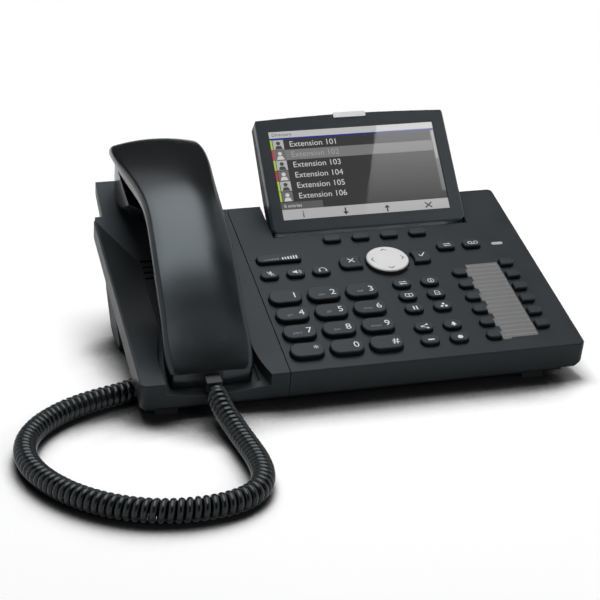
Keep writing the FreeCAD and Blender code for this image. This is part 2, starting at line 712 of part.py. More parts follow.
def ear_rest():
    """The sloping rest between the body's left wall and the trough's right one, and its tongue behind the body."""
    inside = across([(REST_FRONT, rest_height(REST_FRONT)), (REAR_V, rest_height(REAR_V)), (REAR_V, -RIM_REAR),
                     (REST_FRONT, -RIM_REAR)], LEFT_U + WALL / 2, TROUGH_RIGHT + WALL / 2)
    joint = REAR_V - WALL
    tongue = across([(joint, rest_height(joint)), (REST_END, rest_height(REST_END)),
                     (REST_END, rest_height(REST_END) - TONGUE_DEPTH + TONGUE_BEVEL),
                     (REST_END - TONGUE_BEVEL, rest_height(REST_END) - TONGUE_DEPTH),
                     (joint, rest_height(joint) - TONGUE_DEPTH)],
                    TONGUE_LEFT, TONGUE_RIGHT)
    return [inside, tongue]


def hook_block(grow, bottom):
    """The hook switch's outline as a block, cut level with the ear rest when it isn't grown."""
    front, rear = HOOK_V - grow, HOOK_V + HOOK_LENGTH + grow
    return across([(front, rest_height(front) + grow), (rear, rest_height(rear) + grow), (rear, bottom),
                   (front, bottom)], HANDSET_U - HOOK_WIDTH / 2 - grow, HANDSET_U + HOOK_WIDTH / 2 + grow)


def cradle_cover():
    right = SEAM_U - SEAM_GAP / 2
    outer = slab(LEFT_U, right, 0, 0)
    outer = outer.makeFillet(CORNER_ROUND, upright_edges(outer, LEFT_U))
    top_edges = [e for e in level_edges(outer, 0) if e.BoundBox.XMin < right - SMALL]
    outer = outer.makeFillet(EDGE_ROUND, top_edges)
    strip = box(TROUGH_RIGHT + FLARE_WIDTH + WALL, right - WALL, FRONT_V + WALL, REAR_V - WALL,
                -2 * RIM_FRONT, -PLATE)
    under = box(LEFT_U + WALL, right - WALL, FRONT_V + WALL, REAR_V - WALL, -2 * RIM_FRONT, -RIM_REAR)
    flank = box(LEFT_U + WALL, POCKET_LEFT - WALL, FRONT_V + WALL, REAR_V - WALL,
                -2 * RIM_FRONT, -PLATE).cut(dish(PLATE))
    shell = outer.cut(trough())
    shell = shell.cut([strip, under, flank, seam_room(right - WALL - OVER, right + OVER)])
    places = [place for place in screw_places() if place[0] < SEAM_U]
    posts = [post.cut(dish(PLATE - OVER)) for post in screw_bosses(places, -PLATE + OVER)]
    shell = shell.fuse(ear_rest() + posts)
    slots = []
    for row in range(SLOT_COUNT):
        v = SLOT_V + row * SLOT_PITCH
        slots.append(box(SLOT_U - SLOT_LENGTH / 2, SLOT_U + SLOT_LENGTH / 2, v, v + SLOT_WIDTH, -RIM_FRONT, 0))
    return shell.cut(slots + screw_holes(places) + [hook_block(HOOK_GAP, -2 * RIM_FRONT)]).removeSplitter()


# Tray, boards and what sits in them

def socket_places():
    """Rear sockets as (u, size, hole), standing on the main board."""
    return [(LAN_U, NETWORK_SIZE, NETWORK_HOLE), (PC_U, NETWORK_SIZE, NETWORK_HOLE),
            (USB_U, USB_SIZE, USB_HOLE), (HEADSET_U, HEADSET_SIZE, HEADSET_HOLE)]


def board_top():
    return TRAY_DEEP_BOTTOM + TRAY_WALL + BOARD_DEPTH


def rear_block(u, size, depth, play):
    """A box on the main board that ends flush with the tray's rear wall."""
    width, height = size
    return box(u - width / 2 - play, u + width / 2 + play, TRAY_DEEP_REAR - depth, TRAY_DEEP_REAR,
               board_top() - play, board_top() + height + play)


def rear_hole(u, size, hole):
    width, height, depth = hole
    middle = board_top() + size[1] / 2
    return box(u - width / 2, u + width / 2, TRAY_DEEP_REAR - depth, TRAY_DEEP_REAR + OVER,
               middle - height / 2, middle + height / 2)


def handset_socket_block(play):
    width, height = HEADSET_SIZE
    return box(TRAY_SPLIT_U, TRAY_SPLIT_U + SOCKET_DEPTH, HANDSET_SOCKET_V - width / 2 - play,
               HANDSET_SOCKET_V + width / 2 + play, board_top() - play, board_top() + height + play)


def handset_socket_n():
    return board_top() + HEADSET_SIZE[1] / 2


def rear_sockets():
    """The sockets on the main board, as one group of bodies."""
    bodies = [rear_block(u, size, SOCKET_DEPTH, 0).cut(rear_hole(u, size, hole))
              for u, size, hole in socket_places()]
    power = rear_block(POWER_U, POWER_SIZE, SOCKET_DEPTH, 0)
    mouth = V(POWER_U, TRAY_DEEP_REAR + OVER, board_top() + POWER_SIZE[1] / 2)
    bodies.append(power.cut(Part.makeCylinder(POWER_HOLE_RADIUS, POWER_HOLE_DEPTH + OVER, mouth, V(0, -1, 0))))
    width, height, depth = HEADSET_HOLE
    middle = handset_socket_n()
    bodies.append(handset_socket_block(0).cut(
        box(TRAY_SPLIT_U - OVER, TRAY_SPLIT_U + depth, HANDSET_SOCKET_V - width / 2, HANDSET_SOCKET_V + width / 2,
            middle - height / 2, middle + height / 2)))
    return Part.Compound(bodies)


def base_housing():
    top = -RIM_REAR
    low = top - TRAY_PLATE
    left = LEFT_U + WALL + HOUSING_GAP
    front = FRONT_V + WALL + HOUSING_GAP
    rear = REAR_V - WALL - HOUSING_GAP
    plate = box(left, TRAY_RIGHT, front, rear, low, top)
    deep = across([(front, top), (TRAY_DEEP_REAR, top), (TRAY_DEEP_REAR, TRAY_DEEP_BOTTOM),
                   (TRAY_DEEP_FROM + TRAY_DEEP_SLOPE, TRAY_DEEP_BOTTOM), (TRAY_DEEP_FROM, TRAY_FRONT_BOTTOM),
                   (front, TRAY_FRONT_BOTTOM)], TRAY_SPLIT_U, TRAY_RIGHT)
    toe = box(left, TRAY_SPLIT_U, front, front + TRAY_TOE, TRAY_FRONT_BOTTOM, top)
    room = SPEAKER_RADIUS + SPEAKER_ROOM
    speaker_low = top - HOUSING_GAP - SPEAKER_DEPTH
    speaker_room = box(SPEAKER_U - room - TRAY_WALL, SPEAKER_U + room + TRAY_WALL, SPEAKER_V - room - TRAY_WALL,
                       SPEAKER_V + room + TRAY_WALL, speaker_low - TRAY_WALL, top)
    inner_rear = TRAY_DEEP_REAR - TRAY_WALL
    inner_floor = TRAY_DEEP_BOTTOM + TRAY_WALL
    hollow = across([(front + TRAY_WALL, OVER), (inner_rear, OVER), (inner_rear, inner_floor),
                     (TRAY_DEEP_FROM + TRAY_DEEP_SLOPE + TRAY_WALL, inner_floor),
                     (TRAY_DEEP_FROM + TRAY_WALL / 2, TRAY_FRONT_BOTTOM + TRAY_WALL),
                     (front + TRAY_WALL, TRAY_FRONT_BOTTOM + TRAY_WALL)],
                    TRAY_SPLIT_U + TRAY_WALL, TRAY_RIGHT - TRAY_WALL)
    speaker_hollow = cylinder(SPEAKER_U, SPEAKER_V, speaker_low, OVER, room)
    cuts = [hollow, speaker_hollow, notch(), handset_socket_block(SOCKET_PLAY)]
    cuts += [rear_block(u, size, SOCKET_DEPTH, SOCKET_PLAY) for u, size, hole in socket_places()]
    cuts.append(rear_block(POWER_U, POWER_SIZE, SOCKET_DEPTH, SOCKET_PLAY))
    for u, v, floor, underside in screw_places():
        cuts.append(cylinder(u, v, underside - OVER, floor + OVER, SCREW_RADIUS))
        cuts.append(cylinder(u, v, underside - OVER, underside + SCREW_HEAD_DEPTH, SCREW_HEAD_RADIUS))
    return plate.fuse([deep, toe, speaker_room]).cut(cuts).fuse(board_posts()).removeSplitter()


def board_posts():
    """Posts of the tray that carry the key board, three along its front and three along its rear."""
    posts = []
    for u in (BOARD_LEFT + POST_INSET, (BOARD_LEFT + BOARD_RIGHT) / 2, BOARD_RIGHT - POST_INSET):
        posts.append(cylinder(u, BOARD_FRONT + POST_INSET, TRAY_FRONT_BOTTOM, board_bottom(), POST_RADIUS))
        posts.append(cylinder(u, BOARD_REAR - POST_INSET, -RIM_REAR - TRAY_PLATE, board_bottom(), POST_RADIUS))
    return posts


def housing_screws():
    screws = []
    for u, v, floor, underside in screw_places():
        head = cylinder(u, v, underside, underside + SCREW_HEAD_DEPTH, SCREW_HEAD_RADIUS)
        shank = cylinder(u, v, underside, floor + SCREW_GRIP, SCREW_RADIUS)
        screws.append(head.fuse(shank).removeSplitter())
    return Part.Compound(screws)


def mat_top():
    """The key mat lies just under the lowest place that a flange reaches."""
    return -PLATE - FLANGE_GAP - FLANGE_DEPTH - KEY_TRAVEL - FLANGE_GAP


def keypad_mat():
    return box(BOARD_LEFT, BOARD_RIGHT, BOARD_FRONT, BOARD_REAR, mat_top() - MAT_DEPTH, mat_top())


def board_bottom():
    return mat_top() - MAT_DEPTH - BOARD_DEPTH


def key_board():
    return box(BOARD_LEFT, BOARD_RIGHT, BOARD_FRONT, BOARD_REAR, board_bottom(), mat_top() - MAT_DEPTH)


def main_board():
    floor = TRAY_DEEP_BOTTOM + TRAY_WALL
    return box(MAIN_BOARD_LEFT, MAIN_BOARD_RIGHT, MAIN_BOARD_FRONT, MAIN_BOARD_REAR, floor, board_top())


def nav_pivot():
    """The boss under the navigation pad, with room to rock between the pad and the mat."""
    return cylinder(NAV_U, NAV_V, mat_top() + PIVOT_GAP, nav_key().flange_bottom - PIVOT_GAP, PIVOT_RADIUS)


def loudspeaker():
    top = -RIM_REAR - HOUSING_GAP
    rim = cylinder(SPEAKER_U, SPEAKER_V, top - SPEAKER_DEPTH / 2, top, SPEAKER_RADIUS)
    magnet = cylinder(SPEAKER_U, SPEAKER_V, top - SPEAKER_DEPTH, top, SPEAKER_RADIUS / 2)
    return rim.fuse(magnet).removeSplitter()


# Display

def display_outline(inset):
    """The display's face as a flat outline with an arched top edge."""
    left, right = DISPLAY_LEFT + inset, DISPLAY_LEFT + DISPLAY_WIDTH - inset
    top = DISPLAY_HEIGHT - inset
    block = plan(left, right, inset, top + DISPLAY_ARCH, [DISPLAY_ROUND] * 4)
    chord = (right - left) / 2
    radius = (chord ** 2 + DISPLAY_ARCH ** 2) / (2 * DISPLAY_ARCH)
    return block.common(disc(left + chord, top + DISPLAY_ARCH - radius, radius)).Faces[0]


def screen_plan(grow):
    left = DISPLAY_LEFT + BEZEL_LEFT
    return plan(left, left + SCREEN_WIDTH, SCREEN_LOW, SCREEN_LOW + SCREEN_HEIGHT, [0] * 4, grow)


def call_lamp():
    middle = DISPLAY_LEFT + DISPLAY_WIDTH / 2
    top = DISPLAY_HEIGHT + DISPLAY_ARCH
    lens = plan(middle - CALL_LAMP_WIDTH / 2, middle + CALL_LAMP_WIDTH / 2, top - CALL_LAMP_SINK,
                top + CALL_LAMP_PROUD, [CALL_LAMP_PROUD] * 4)
    return raised(lens, -CALL_LAMP_DEPTH, CALL_LAMP_PROUD)


def display_bezel():
    body = raised(display_outline(0), -BEZEL_DEPTH, 0)
    body = body.makeFillet(EDGE_ROUND, level_edges(body, 0))
    window_seat = raised(screen_plan(WINDOW_LAP), -BEZEL_DEPTH - OVER, -WINDOW_SINK)
    lcd_seat = raised(screen_plan(LCD_LAP), -BEZEL_DEPTH - OVER, -WINDOW_SINK - WINDOW_DEPTH)
    opening = raised(screen_plan(0), -BEZEL_DEPTH, OVER)
    return body.cut([opening, window_seat, lcd_seat, call_lamp()]).removeSplitter()


def display_window():
    return raised(screen_plan(WINDOW_LAP), -WINDOW_SINK - WINDOW_DEPTH, -WINDOW_SINK)


def lcd_module():
    front = -WINDOW_SINK - WINDOW_DEPTH
    return raised(screen_plan(LCD_LAP), front - LCD_DEPTH, front)


def display_back():
    right = DISPLAY_LEFT + DISPLAY_WIDTH
    shell = raised(display_outline(0), -BACK_LOW_DEPTH, -BEZEL_DEPTH)
    tall = DISPLAY_HEIGHT + 2 * DISPLAY_ARCH
    side = across([(0, -BEZEL_DEPTH), (tall, -BEZEL_DEPTH), (tall, -BACK_TOP_DEPTH), (tall / 3, -BACK_LOW_DEPTH),
                   (BACK_BEVEL, -BACK_LOW_DEPTH), (0, -BACK_LOW_DEPTH + BACK_BEVEL)], DISPLAY_LEFT - OVER, right + OVER)
    room = raised(display_outline(BACK_WALL), -BACK_LOW_DEPTH, -BEZEL_DEPTH + OVER)
    inner = across([(0, 0), (tall, 0), (tall, -BACK_TOP_DEPTH + BACK_WALL), (tall / 3, -BACK_LOW_DEPTH + BACK_WALL),
                    (0, -BACK_LOW_DEPTH + BACK_WALL)], DISPLAY_LEFT, right)
    bosses = [box(u, u + HINGE_BOSS, BACK_WALL / 2, HINGE_S + HINGE_BOSS, -BACK_LOW_DEPTH + BACK_WALL / 2,
                  -BEZEL_DEPTH).common(side)
              for u in (DISPLAY_LEFT + BACK_WALL / 2, right - BACK_WALL / 2 - HINGE_BOSS)]
    body = shell.common(side).cut(room.common(inner)).fuse(bosses)
    reach = HINGE_IN - NOTCH_GAP + HINGE_PLAY
    bores = [Part.makeCylinder(HINGE_RADIUS + HINGE_PLAY, reach + OVER, V(u, HINGE_S, HINGE_D), V(1, 0, 0))
             for u in (DISPLAY_LEFT - OVER, right - reach)]
    return body.cut(bores).removeSplitter()


# Handset

def back_section(section, inset):
    """Section of the handset's back: flat at the parting, upright sides, round shoulders, crowned top."""
    v, half, shoulder, band, crown = section
    parting = max(shoulder - band, MOUTH_BOTTOM) - inset
    half = half - inset
    shoulder = shoulder - inset
    turn = math.radians(SHOULDER_TURN)
    radius = SHOULDER_INSET / (1 - math.cos(turn))
    side_top = shoulder + SHOULDER_RISE - radius * math.sin(turn)
    bend_in = radius * (1 - math.cos(turn / 2))
    bend_up = radius * math.sin(turn / 2)

    def at(offset, n):
        return V(HANDSET_U + offset, v, n)

    crown_end = half - SHOULDER_INSET
    edges = [Part.LineSegment(at(-half, parting), at(half, parting)),
             Part.LineSegment(at(half, parting), at(half, side_top)),
             Part.Arc(at(half, side_top), at(half - bend_in, side_top + bend_up),
                      at(crown_end, shoulder + SHOULDER_RISE)),
             Part.Arc(at(crown_end, shoulder + SHOULDER_RISE), at(0, shoulder + crown),
                      at(-crown_end, shoulder + SHOULDER_RISE)),
             Part.Arc(at(-crown_end, shoulder + SHOULDER_RISE), at(bend_in - half, side_top + bend_up),
                      at(-half, side_top)),
             Part.LineSegment(at(-half, side_top), at(-half, parting))]
    return Part.Wire([edge.toShape() for edge in edges])


def back_solid(inset):
    return Part.makeLoft([back_section(section, inset) for section in HANDSET_SECTIONS], True)


def back_room():
    """The hollow in the handset's back, which leaves a block at the mouth and one at the ear."""
    wide = HANDSET_SECTIONS[-3][1]
    return back_solid(HANDSET_WALL).common(
        box(HANDSET_U - wide, HANDSET_U + wide, ROOM_FRONT, ROOM_REAR, -RIM_FRONT, 4 * RIM_FRONT))


def ear_height(v):
    return rest_height(v) + EAR_GAP


def front_side(inset):
    """The mouthpiece and grip's outline from the side, as a face at u = 0."""
    low = MOUTH_BOTTOM + inset
    grip = [V(0, MOUTH_REAR - inset, low)]
    grip += [V(0, v, n + inset) for v, n in GRIP_LINE]
    grip.append(V(0, EAR_REAR - inset, GRIP_END_N + inset))
    top = [V(0, v, line - band / 2) for v, half, line, band, crown in HANDSET_SECTIONS[1:-1]]
    mouth = V(0, MOUTH_FRONT + inset, low)
    edges = [Part.LineSegment(mouth, grip[0]).toShape(), spline(grip),
             Part.LineSegment(grip[-1], top[-1]).toShape(), spline(top[::-1]),
             Part.LineSegment(top[0], mouth).toShape()]
    return Part.Face(Part.Wire(edges))


def front_plan(inset):
    """The handset front's outline from above."""
    middle = HANDSET_SECTIONS[1:-1]
    right = [V(HANDSET_U + half - inset, v, 0) for v, half, line, band, crown in middle]
    left = [V(HANDSET_U - half + inset, v, 0) for v, half, line, band, crown in middle[::-1]]
    edges = [spline(right), Part.LineSegment(right[-1], left[0]).toShape(), spline(left),
             Part.LineSegment(left[-1], right[0]).toShape()]
    return Part.Face(Part.Wire(edges))


def on_ear(shape, v, rise):
    """Stands a shape that is drawn upright at the origin on the sloping ear face, raised from it by rise."""
    placed = shape.copy()
    placed.rotate(V(0, 0, 0), V(1, 0, 0), math.degrees(math.atan(REST_SLOPE)))
    return placed.translated(V(HANDSET_U, v, ear_height(v) + rise))


def front_solid(inset):
    wide = HANDSET_SECTIONS[-3][1] * 2
    side = front_side(inset).translated(V(HANDSET_U - wide, 0, 0)).extrude(V(2 * wide, 0, 0))
    cup = on_ear(Part.makeCone(EAR_RADIUS - inset, EAR_RADIUS + EAR_FLARE - inset, EAR_HEIGHT), EAR_V, inset)
    low, high = -RIM_FRONT, 4 * RIM_FRONT
    length = box(HANDSET_U - wide, HANDSET_U + wide, MOUTH_FRONT + inset, EAR_REAR - inset, low, high)
    return side.fuse(cup).common(raised(front_plan(FRONT_INSET + inset), low, high)).common(length)


def sound_holes(ring, count):
    """A ring of holes round the origin through the handset front's wall."""
    holes = []
    for place in range(count):
        turn = 2 * math.pi * place / count
        u, v = ring * math.cos(turn), ring * math.sin(turn)
        holes.append(cylinder(u, v, -OVER, HANDSET_WALL, SOUND_HOLE_RADIUS))
    return Part.Compound(holes)


def jack_block(size, n):
    width, height = size
    front = HANDSET_SECTIONS[0][0]
    return box(HANDSET_U - width / 2, HANDSET_U + width / 2, front, front + HANDSET_JACK_DEPTH, n - height / 2,
               n + height / 2)


def handset_pieces():
    """The handset's back, front, receiver, microphone and socket."""
    back_full = back_solid(0)
    jack_full = jack_block(HANDSET_JACK_SIZE, HANDSET_JACK_N)
    back = back_full.cut([back_room(), jack_full])
    receiver = on_ear(cylinder(0, 0, 0, RECEIVER_DEPTH, RECEIVER_RADIUS), RECEIVER_V, HANDSET_WALL)
    low = MOUTH_BOTTOM + HANDSET_WALL
    microphone = cylinder(HANDSET_U, MICROPHONE_V, low, low + MICROPHONE_DEPTH, MICROPHONE_RADIUS)
    ear_holes = on_ear(sound_holes(RECEIVER_HOLE_RING, RECEIVER_HOLE_COUNT), RECEIVER_V, 0)
    mouth_holes = sound_holes(MICROPHONE_HOLE_RING, MICROPHONE_HOLE_COUNT).translated(
        V(HANDSET_U, MICROPHONE_V, MOUTH_BOTTOM))
    front = front_solid(0).cut([back_full, front_solid(HANDSET_WALL), jack_full])
    front = front.cut([receiver, microphone, ear_holes, mouth_holes])
    width, height, depth = HANDSET_JACK_HOLE
    front_v = HANDSET_SECTIONS[0][0]
    hole = box(HANDSET_U - width / 2, HANDSET_U + width / 2, front_v - OVER, front_v + depth,
               HANDSET_JACK_N - height / 2, HANDSET_JACK_N + height / 2)
    return {"handset_back": back, "handset_front": front, "handset_receiver": receiver,
            "handset_microphone": microphone, "handset_jack": jack_full.cut(hole)}


# Cord and its plugs

def handset_plug():
    width, height, depth = HANDSET_JACK_HOLE
    front = HANDSET_SECTIONS[0][0]
    half_width, half_height = width / 2 - PLUG_PLAY, height / 2 - PLUG_PLAY
    return box(HANDSET_U - half_width, HANDSET_U + half_width, front - PLUG_OUT, front + depth - PLUG_PLAY,
               HANDSET_JACK_N - half_height, HANDSET_JACK_N + half_height)


def base_plug():
    width, height, depth = HEADSET_HOLE
    middle = handset_socket_n()
    half_width, half_height = width / 2 - PLUG_PLAY, height / 2 - PLUG_PLAY
    return box(TRAY_SPLIT_U - PLUG_OUT, TRAY_SPLIT_U + depth - PLUG_PLAY, HANDSET_SOCKET_V - half_width,
               HANDSET_SOCKET_V + half_width, middle - half_height, middle + half_height)


def cord_route():
    """The route's points in the upright frame, from the handset's plug to the tray's plug."""
    front = HANDSET_SECTIONS[0][0] - PLUG_OUT
    start = tilted_point(HANDSET_U, front, HANDSET_JACK_N)
    leaving = tilted_point(HANDSET_U, front - CORD_EXIT_RUN, HANDSET_JACK_N)
    end = tilted_point(TRAY_SPLIT_U - PLUG_OUT, HANDSET_SOCKET_V, handset_socket_n())
    entering = end - V(CORD_ENTRY_RUN, 0, 0)
    approach = entering + V(*CORD_APPROACH)
    return [start, leaving] + [V(*point) for point in CORD_LOOP] + [approach, entering, end]


def rounded_path(points):
    """Straight runs joined by tangent arcs, each as large as its shorter run allows. Returns the wire and radii."""
    edges = []
    radii = []
    last = points[0]
    for before, here, after in zip(points, points[1:], points[2:]):
        into = (here - before).normalize()
        out = (after - here).normalize()
        cut = CORD_ARC * min(here.distanceToPoint(before), after.distanceToPoint(here))
        turn = into.getAngle(out)
        radius = cut / math.tan(turn / 2)
        start, end = here - into * cut, here + out * cut
        inward = (out - into).normalize()
        middle = here + inward * (radius / math.cos(turn / 2) - radius)
        edges.append(Part.LineSegment(last, start).toShape())
        edges.append(Part.Arc(start, middle, end).toShape())
        radii.append(radius)
        last = end
    edges.append(Part.LineSegment(last, points[-1]).toShape())
    return Part.Wire(edges), radii


def curly_cord():
    points = cord_route()
    path, radii = rounded_path(points)
    start = points[0]
    profile = Part.Wire(Part.makeCircle(CORD_DIAMETER / 2, start, points[1] - start))
    tube = path.makePipeShell([profile], True, False)
    section = math.pi * CORD_DIAMETER ** 2 / 4
    print("cord radii", [round(radius, 1) for radius in radii])
    print("cord length", round(path.Length, 1), "volume", round(tube.Volume), "expected", round(section * path.Length))
    return tube


# Stand and feet

def under_tray(low):
    """Everything below a plane of the tray's underside, in the upright frame."""
    far = 4 * RIGHT_U
    return tilted(box(-far, far, -far, far, -far, low))


def foot_stand():
    legs = []
    outline = [V(0, y, z) for y, z in STAND_OUTLINE]
    face = Part.Face(Part.makePolygon(outline + outline[:1]))
    inner = Part.Face(face.makeOffset2D(-STAND_WALL, 2).Wires[0])
    spans = [(STAND_LEFT, STAND_LEFT + STAND_LEG_WIDTH), (STAND_RIGHT - STAND_RIGHT_LEG, STAND_RIGHT)]
    for u0, u1 in spans:
        leg = face.translated(V(u0, 0, 0)).extrude(V(u1 - u0, 0, 0))
        room = inner.translated(V(u0 + STAND_WALL, 0, 0)).extrude(V(u1 - u0 - 2 * STAND_WALL, 0, 0))
        legs.append(leg.cut(room))
    bar = box(spans[0][1], spans[1][0], STAND_BAR_FRONT, STAND_BAR_REAR, FOOT_PAD, STAND_BAR_TOP)
    return legs[0].fuse([legs[1], bar]).common(under_tray(-RIM_REAR - TRAY_PLATE)).removeSplitter()


def rubber_feet():
    feet = []
    for u in (FRONT_FOOT_LEFT_U, FRONT_FOOT_RIGHT_U):
        block = box(u, u + FRONT_FOOT_WIDTH, FRONT_FOOT_FRONT, FRONT_FOOT_REAR, 0, FRONT_HEIGHT)
        feet.append(block.common(under_tray(TRAY_FRONT_BOTTOM)))
    for u in (STAND_LEFT + REAR_PAD_EDGE, STAND_RIGHT - REAR_PAD_WIDTH - REAR_PAD_EDGE):
        feet.append(box(u, u + REAR_PAD_WIDTH, REAR_PAD_FRONT, REAR_PAD_REAR, 0, FOOT_PAD))
    return Part.Compound(feet)


# The whole phone

def panel_pieces():
    """Every piece that is drawn in the panel's frame."""
    keys = all_keys()
    label = label_outline(0)
    pieces = {"keypad_cover": keypad_cover(keys), "cradle_cover": cradle_cover(), "base_housing": base_housing(),
              "keypad_mat": keypad_mat(), "key_board": key_board(), "main_board": main_board(),
              "rear_sockets": rear_sockets(), "loudspeaker": loudspeaker(), "housing_screws": housing_screws(),
              "label_card": raised(label, -POCKET, -POCKET + CARD_DEPTH),
              "label_window": raised(label, -POCKET + CARD_DEPTH, 0),
              "message_lamp": raised(lamp_outline(), -PLATE, LAMP_RISE),
              "hinge_pins": Part.Compound(pin_bar(HINGE_RADIUS, HINGE_IN)),
              "hook_switch": hook_block(0, HOOK_BOTTOM), "navigation_pivot": nav_pivot(),
              "handset_plug": handset_plug(), "base_plug": base_plug()}
    for name, caps in keys.items():
        shapes = [key.cap() for key in caps]
        pieces[name] = shapes[0] if len(shapes) == 1 else Part.Compound(shapes)
    for name, shape in (("display_bezel", display_bezel()), ("display_back", display_back()),
                        ("display_window", display_window()), ("lcd_module", lcd_module()),
                        ("call_lamp", call_lamp())):
        pieces[name] = leaned(shape)
    pieces.update(handset_pieces())
    return pieces


def main():
    pieces = {name: tilted(shape) for name, shape in panel_pieces().items()}
    pieces["foot_stand"] = foot_stand()
    pieces["rubber_feet"] = rubber_feet()
    cord_names = ("handset_plug", "base_plug")
    body = Part.Compound([shape for name, shape in pieces.items() if name not in cord_names])
    bounds = body.optimalBoundingBox(False)
    origin = V(bounds.Center.x, bounds.Center.y, 0)
    pieces["curly_cord"] = curly_cord()
    os.makedirs("parts", exist_ok=True)
    for name, shape in pieces.items():
        shape.translated(-origin).exportStep(f"parts/{name}.step")
    print("pieces", len(pieces), "origin", origin, "size", bounds.XLength, bounds.YLength, bounds.ZMin, bounds.ZMax)


main()
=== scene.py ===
import math

import bmesh
import bpy
from mathutils import Matrix, Vector


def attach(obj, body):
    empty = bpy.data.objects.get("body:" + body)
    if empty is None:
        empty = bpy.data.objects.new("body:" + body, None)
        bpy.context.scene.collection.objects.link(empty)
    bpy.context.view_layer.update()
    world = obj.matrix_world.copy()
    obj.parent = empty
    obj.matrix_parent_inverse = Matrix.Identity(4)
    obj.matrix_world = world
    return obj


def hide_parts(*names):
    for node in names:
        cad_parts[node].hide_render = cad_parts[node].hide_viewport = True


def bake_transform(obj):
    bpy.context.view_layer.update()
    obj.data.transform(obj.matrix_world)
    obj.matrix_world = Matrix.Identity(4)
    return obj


# Desk telephone: materials, printed marks, screen picture, curly cord, light and camera
# Sizes are in millimetres, and places on the panel are (u to the right, v up the slope, n out of it)

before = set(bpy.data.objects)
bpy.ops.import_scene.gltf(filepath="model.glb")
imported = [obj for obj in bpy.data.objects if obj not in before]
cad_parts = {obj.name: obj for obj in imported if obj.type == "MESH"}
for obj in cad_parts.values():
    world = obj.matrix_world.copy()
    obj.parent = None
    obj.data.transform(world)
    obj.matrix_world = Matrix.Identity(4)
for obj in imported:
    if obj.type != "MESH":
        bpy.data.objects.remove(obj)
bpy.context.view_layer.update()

MM = 0.001

# The panel's plane and the display's plane, as part.py has them
TILT = 16.3
FRONT_V = -53.4
FRONT_HEIGHT = 19.0
ORIGIN = (28.75, 82.4007)
DISPLAY_V = 63.5
DISPLAY_N = 1.5
DISPLAY_LEAN = 32.8
TO_METRES = Matrix.Scale(MM, 4)
UPRIGHT = TO_METRES @ Matrix.Translation((-ORIGIN[0], -ORIGIN[1], 0))
PANEL = (UPRIGHT @ Matrix.Translation((0, 0, FRONT_HEIGHT))
         @ Matrix.Rotation(math.radians(TILT), 4, "X")
         @ Matrix.Translation((0, -FRONT_V, 0)))
DISPLAY = (PANEL @ Matrix.Translation((0, DISPLAY_V, DISPLAY_N))
           @ Matrix.Rotation(math.radians(DISPLAY_LEAN), 4, "X"))
PANEL_NORMAL = (PANEL.to_3x3() @ Vector((0, 0, 1))).normalized()

# Keys: where each one stands on the panel, and how high its top is
DIGITS = [["key_1", "key_2", "key_3"], ["key_4", "key_5", "key_6"],
          ["key_7", "key_8", "key_9"], ["key_star", "key_0", "key_hash"]]
DIGIT_SIGNS = [["1", "2", "3"], ["4", "5", "6"], ["7", "8", "9"], ["*", "0", "#"]]
DIGIT_LETTERS = [["", "abc", "def"], ["ghi", "jkl", "mno"], ["pqrs", "tuv", "wxyz"], ["", "", ""]]
DIGIT_PITCH = (20.4, 15.1)
DIGIT_RISE = 2.8
SIGN_PLACE = (4.7, 5.2)
SIGN_SIZE = 6.2
LETTER_PLACE = (-1.5, 3.9)
LETTER_SIZE = 2.7
SMALL_RISE = 2.2
FEATURE_PLACE = (63.6, 5.6)
FEATURE_PITCH = (15.3, 11.15)
FEATURE_BREAK = 4.9
FEATURE_MIDDLE = (0.3, 2.9)
AUDIO_NAMES = ["mute_key", "speaker_key", "headset_key"]
AUDIO_PLACE = (-2.6, 26.3)
AUDIO_PITCH = 13.95
SIDE_NAMES = ["transfer_key", "message_key"]
SIDE_PLACE = (98.2, 39.5)
SIDE_PITCH = 14.7
CANCEL_PLACE = (42.4, 32.4)
CONFIRM_PLACE = (81.6, 32.4)
ROCKER_PLACE = (5.6, 39.6)
ROCKER_TICKS = 12
ROCKER_PITCH = 1.5
ROCKER_BREAK = 1.2
TICK_HALF_WIDTH = 0.35
TICK_FOOT = 1.2
TICK_HEIGHT = 0.7
TICK_GROWTH = 2.3
NAV_PLACE = (62.1, 30.8)
NAV_RISE = 2.6
NAV_ARROW_OUT = 8.3
PRINT_LIFT = 0.04
STROKE = 0.55
WELD = 1e-7

# Label strip
STRIP = (103.1, 120.9, -42.6, 22.6)
STRIP_WINDOW = (104.6, 118.8)
LABEL_LINES = 18
LABEL_MARGIN = 0.3
LABEL_LINE_HALF = 0.3
LABEL_LEVEL = 0.125

# Screen, on the display's plane: its left and low corner with its width and height
SCREEN = (14.85, 7.5, 95.04, 53.86)
SCREEN_TOP = -1.96

# Screen's picture, in shares of the screen's width, and of its height from the top
HEADER_END = 0.072
LINE_END = 0.090
LIST_START = 0.092
LIST_END = 0.79
STATUS_START = 0.795
STATUS_WIDTH = 0.25
BAR_START = 0.875
BAR_SIGNS = 4
WORDS_MARGIN = 0.02
ENTRY_COUNT = 6
ENTRY_PITCH = 0.1165
ENTRY_GAP = 0.006
MARK_WIDTH = 0.015
TILE_SPAN = (0.019, 0.082)
HEAD_DOWN = 0.040
WORDS_START = 0.115
ENTRY_END = 0.975
SCROLL_START = 0.977
SCROLL_THUMB = (0.980, 0.996, 0.10, 0.42)
MARKED_ENTRY = 1
BUSY_ENTRIES = (1, 3)
FIRST_NUMBER = 101

# Screen's picture, in millimetres: sizes of its words, and how high its layers lie
SMALL_WORDS = 2.8
ENTRY_WORDS = 4.8
SIGN_WORDS = 6.2
FIELD_LIFT = 0.01
SCROLL_LIFT = 0.012
MARK_LIFT = 0.015
THUMB_LIFT = 0.016
WORDS_LIFT = 0.02

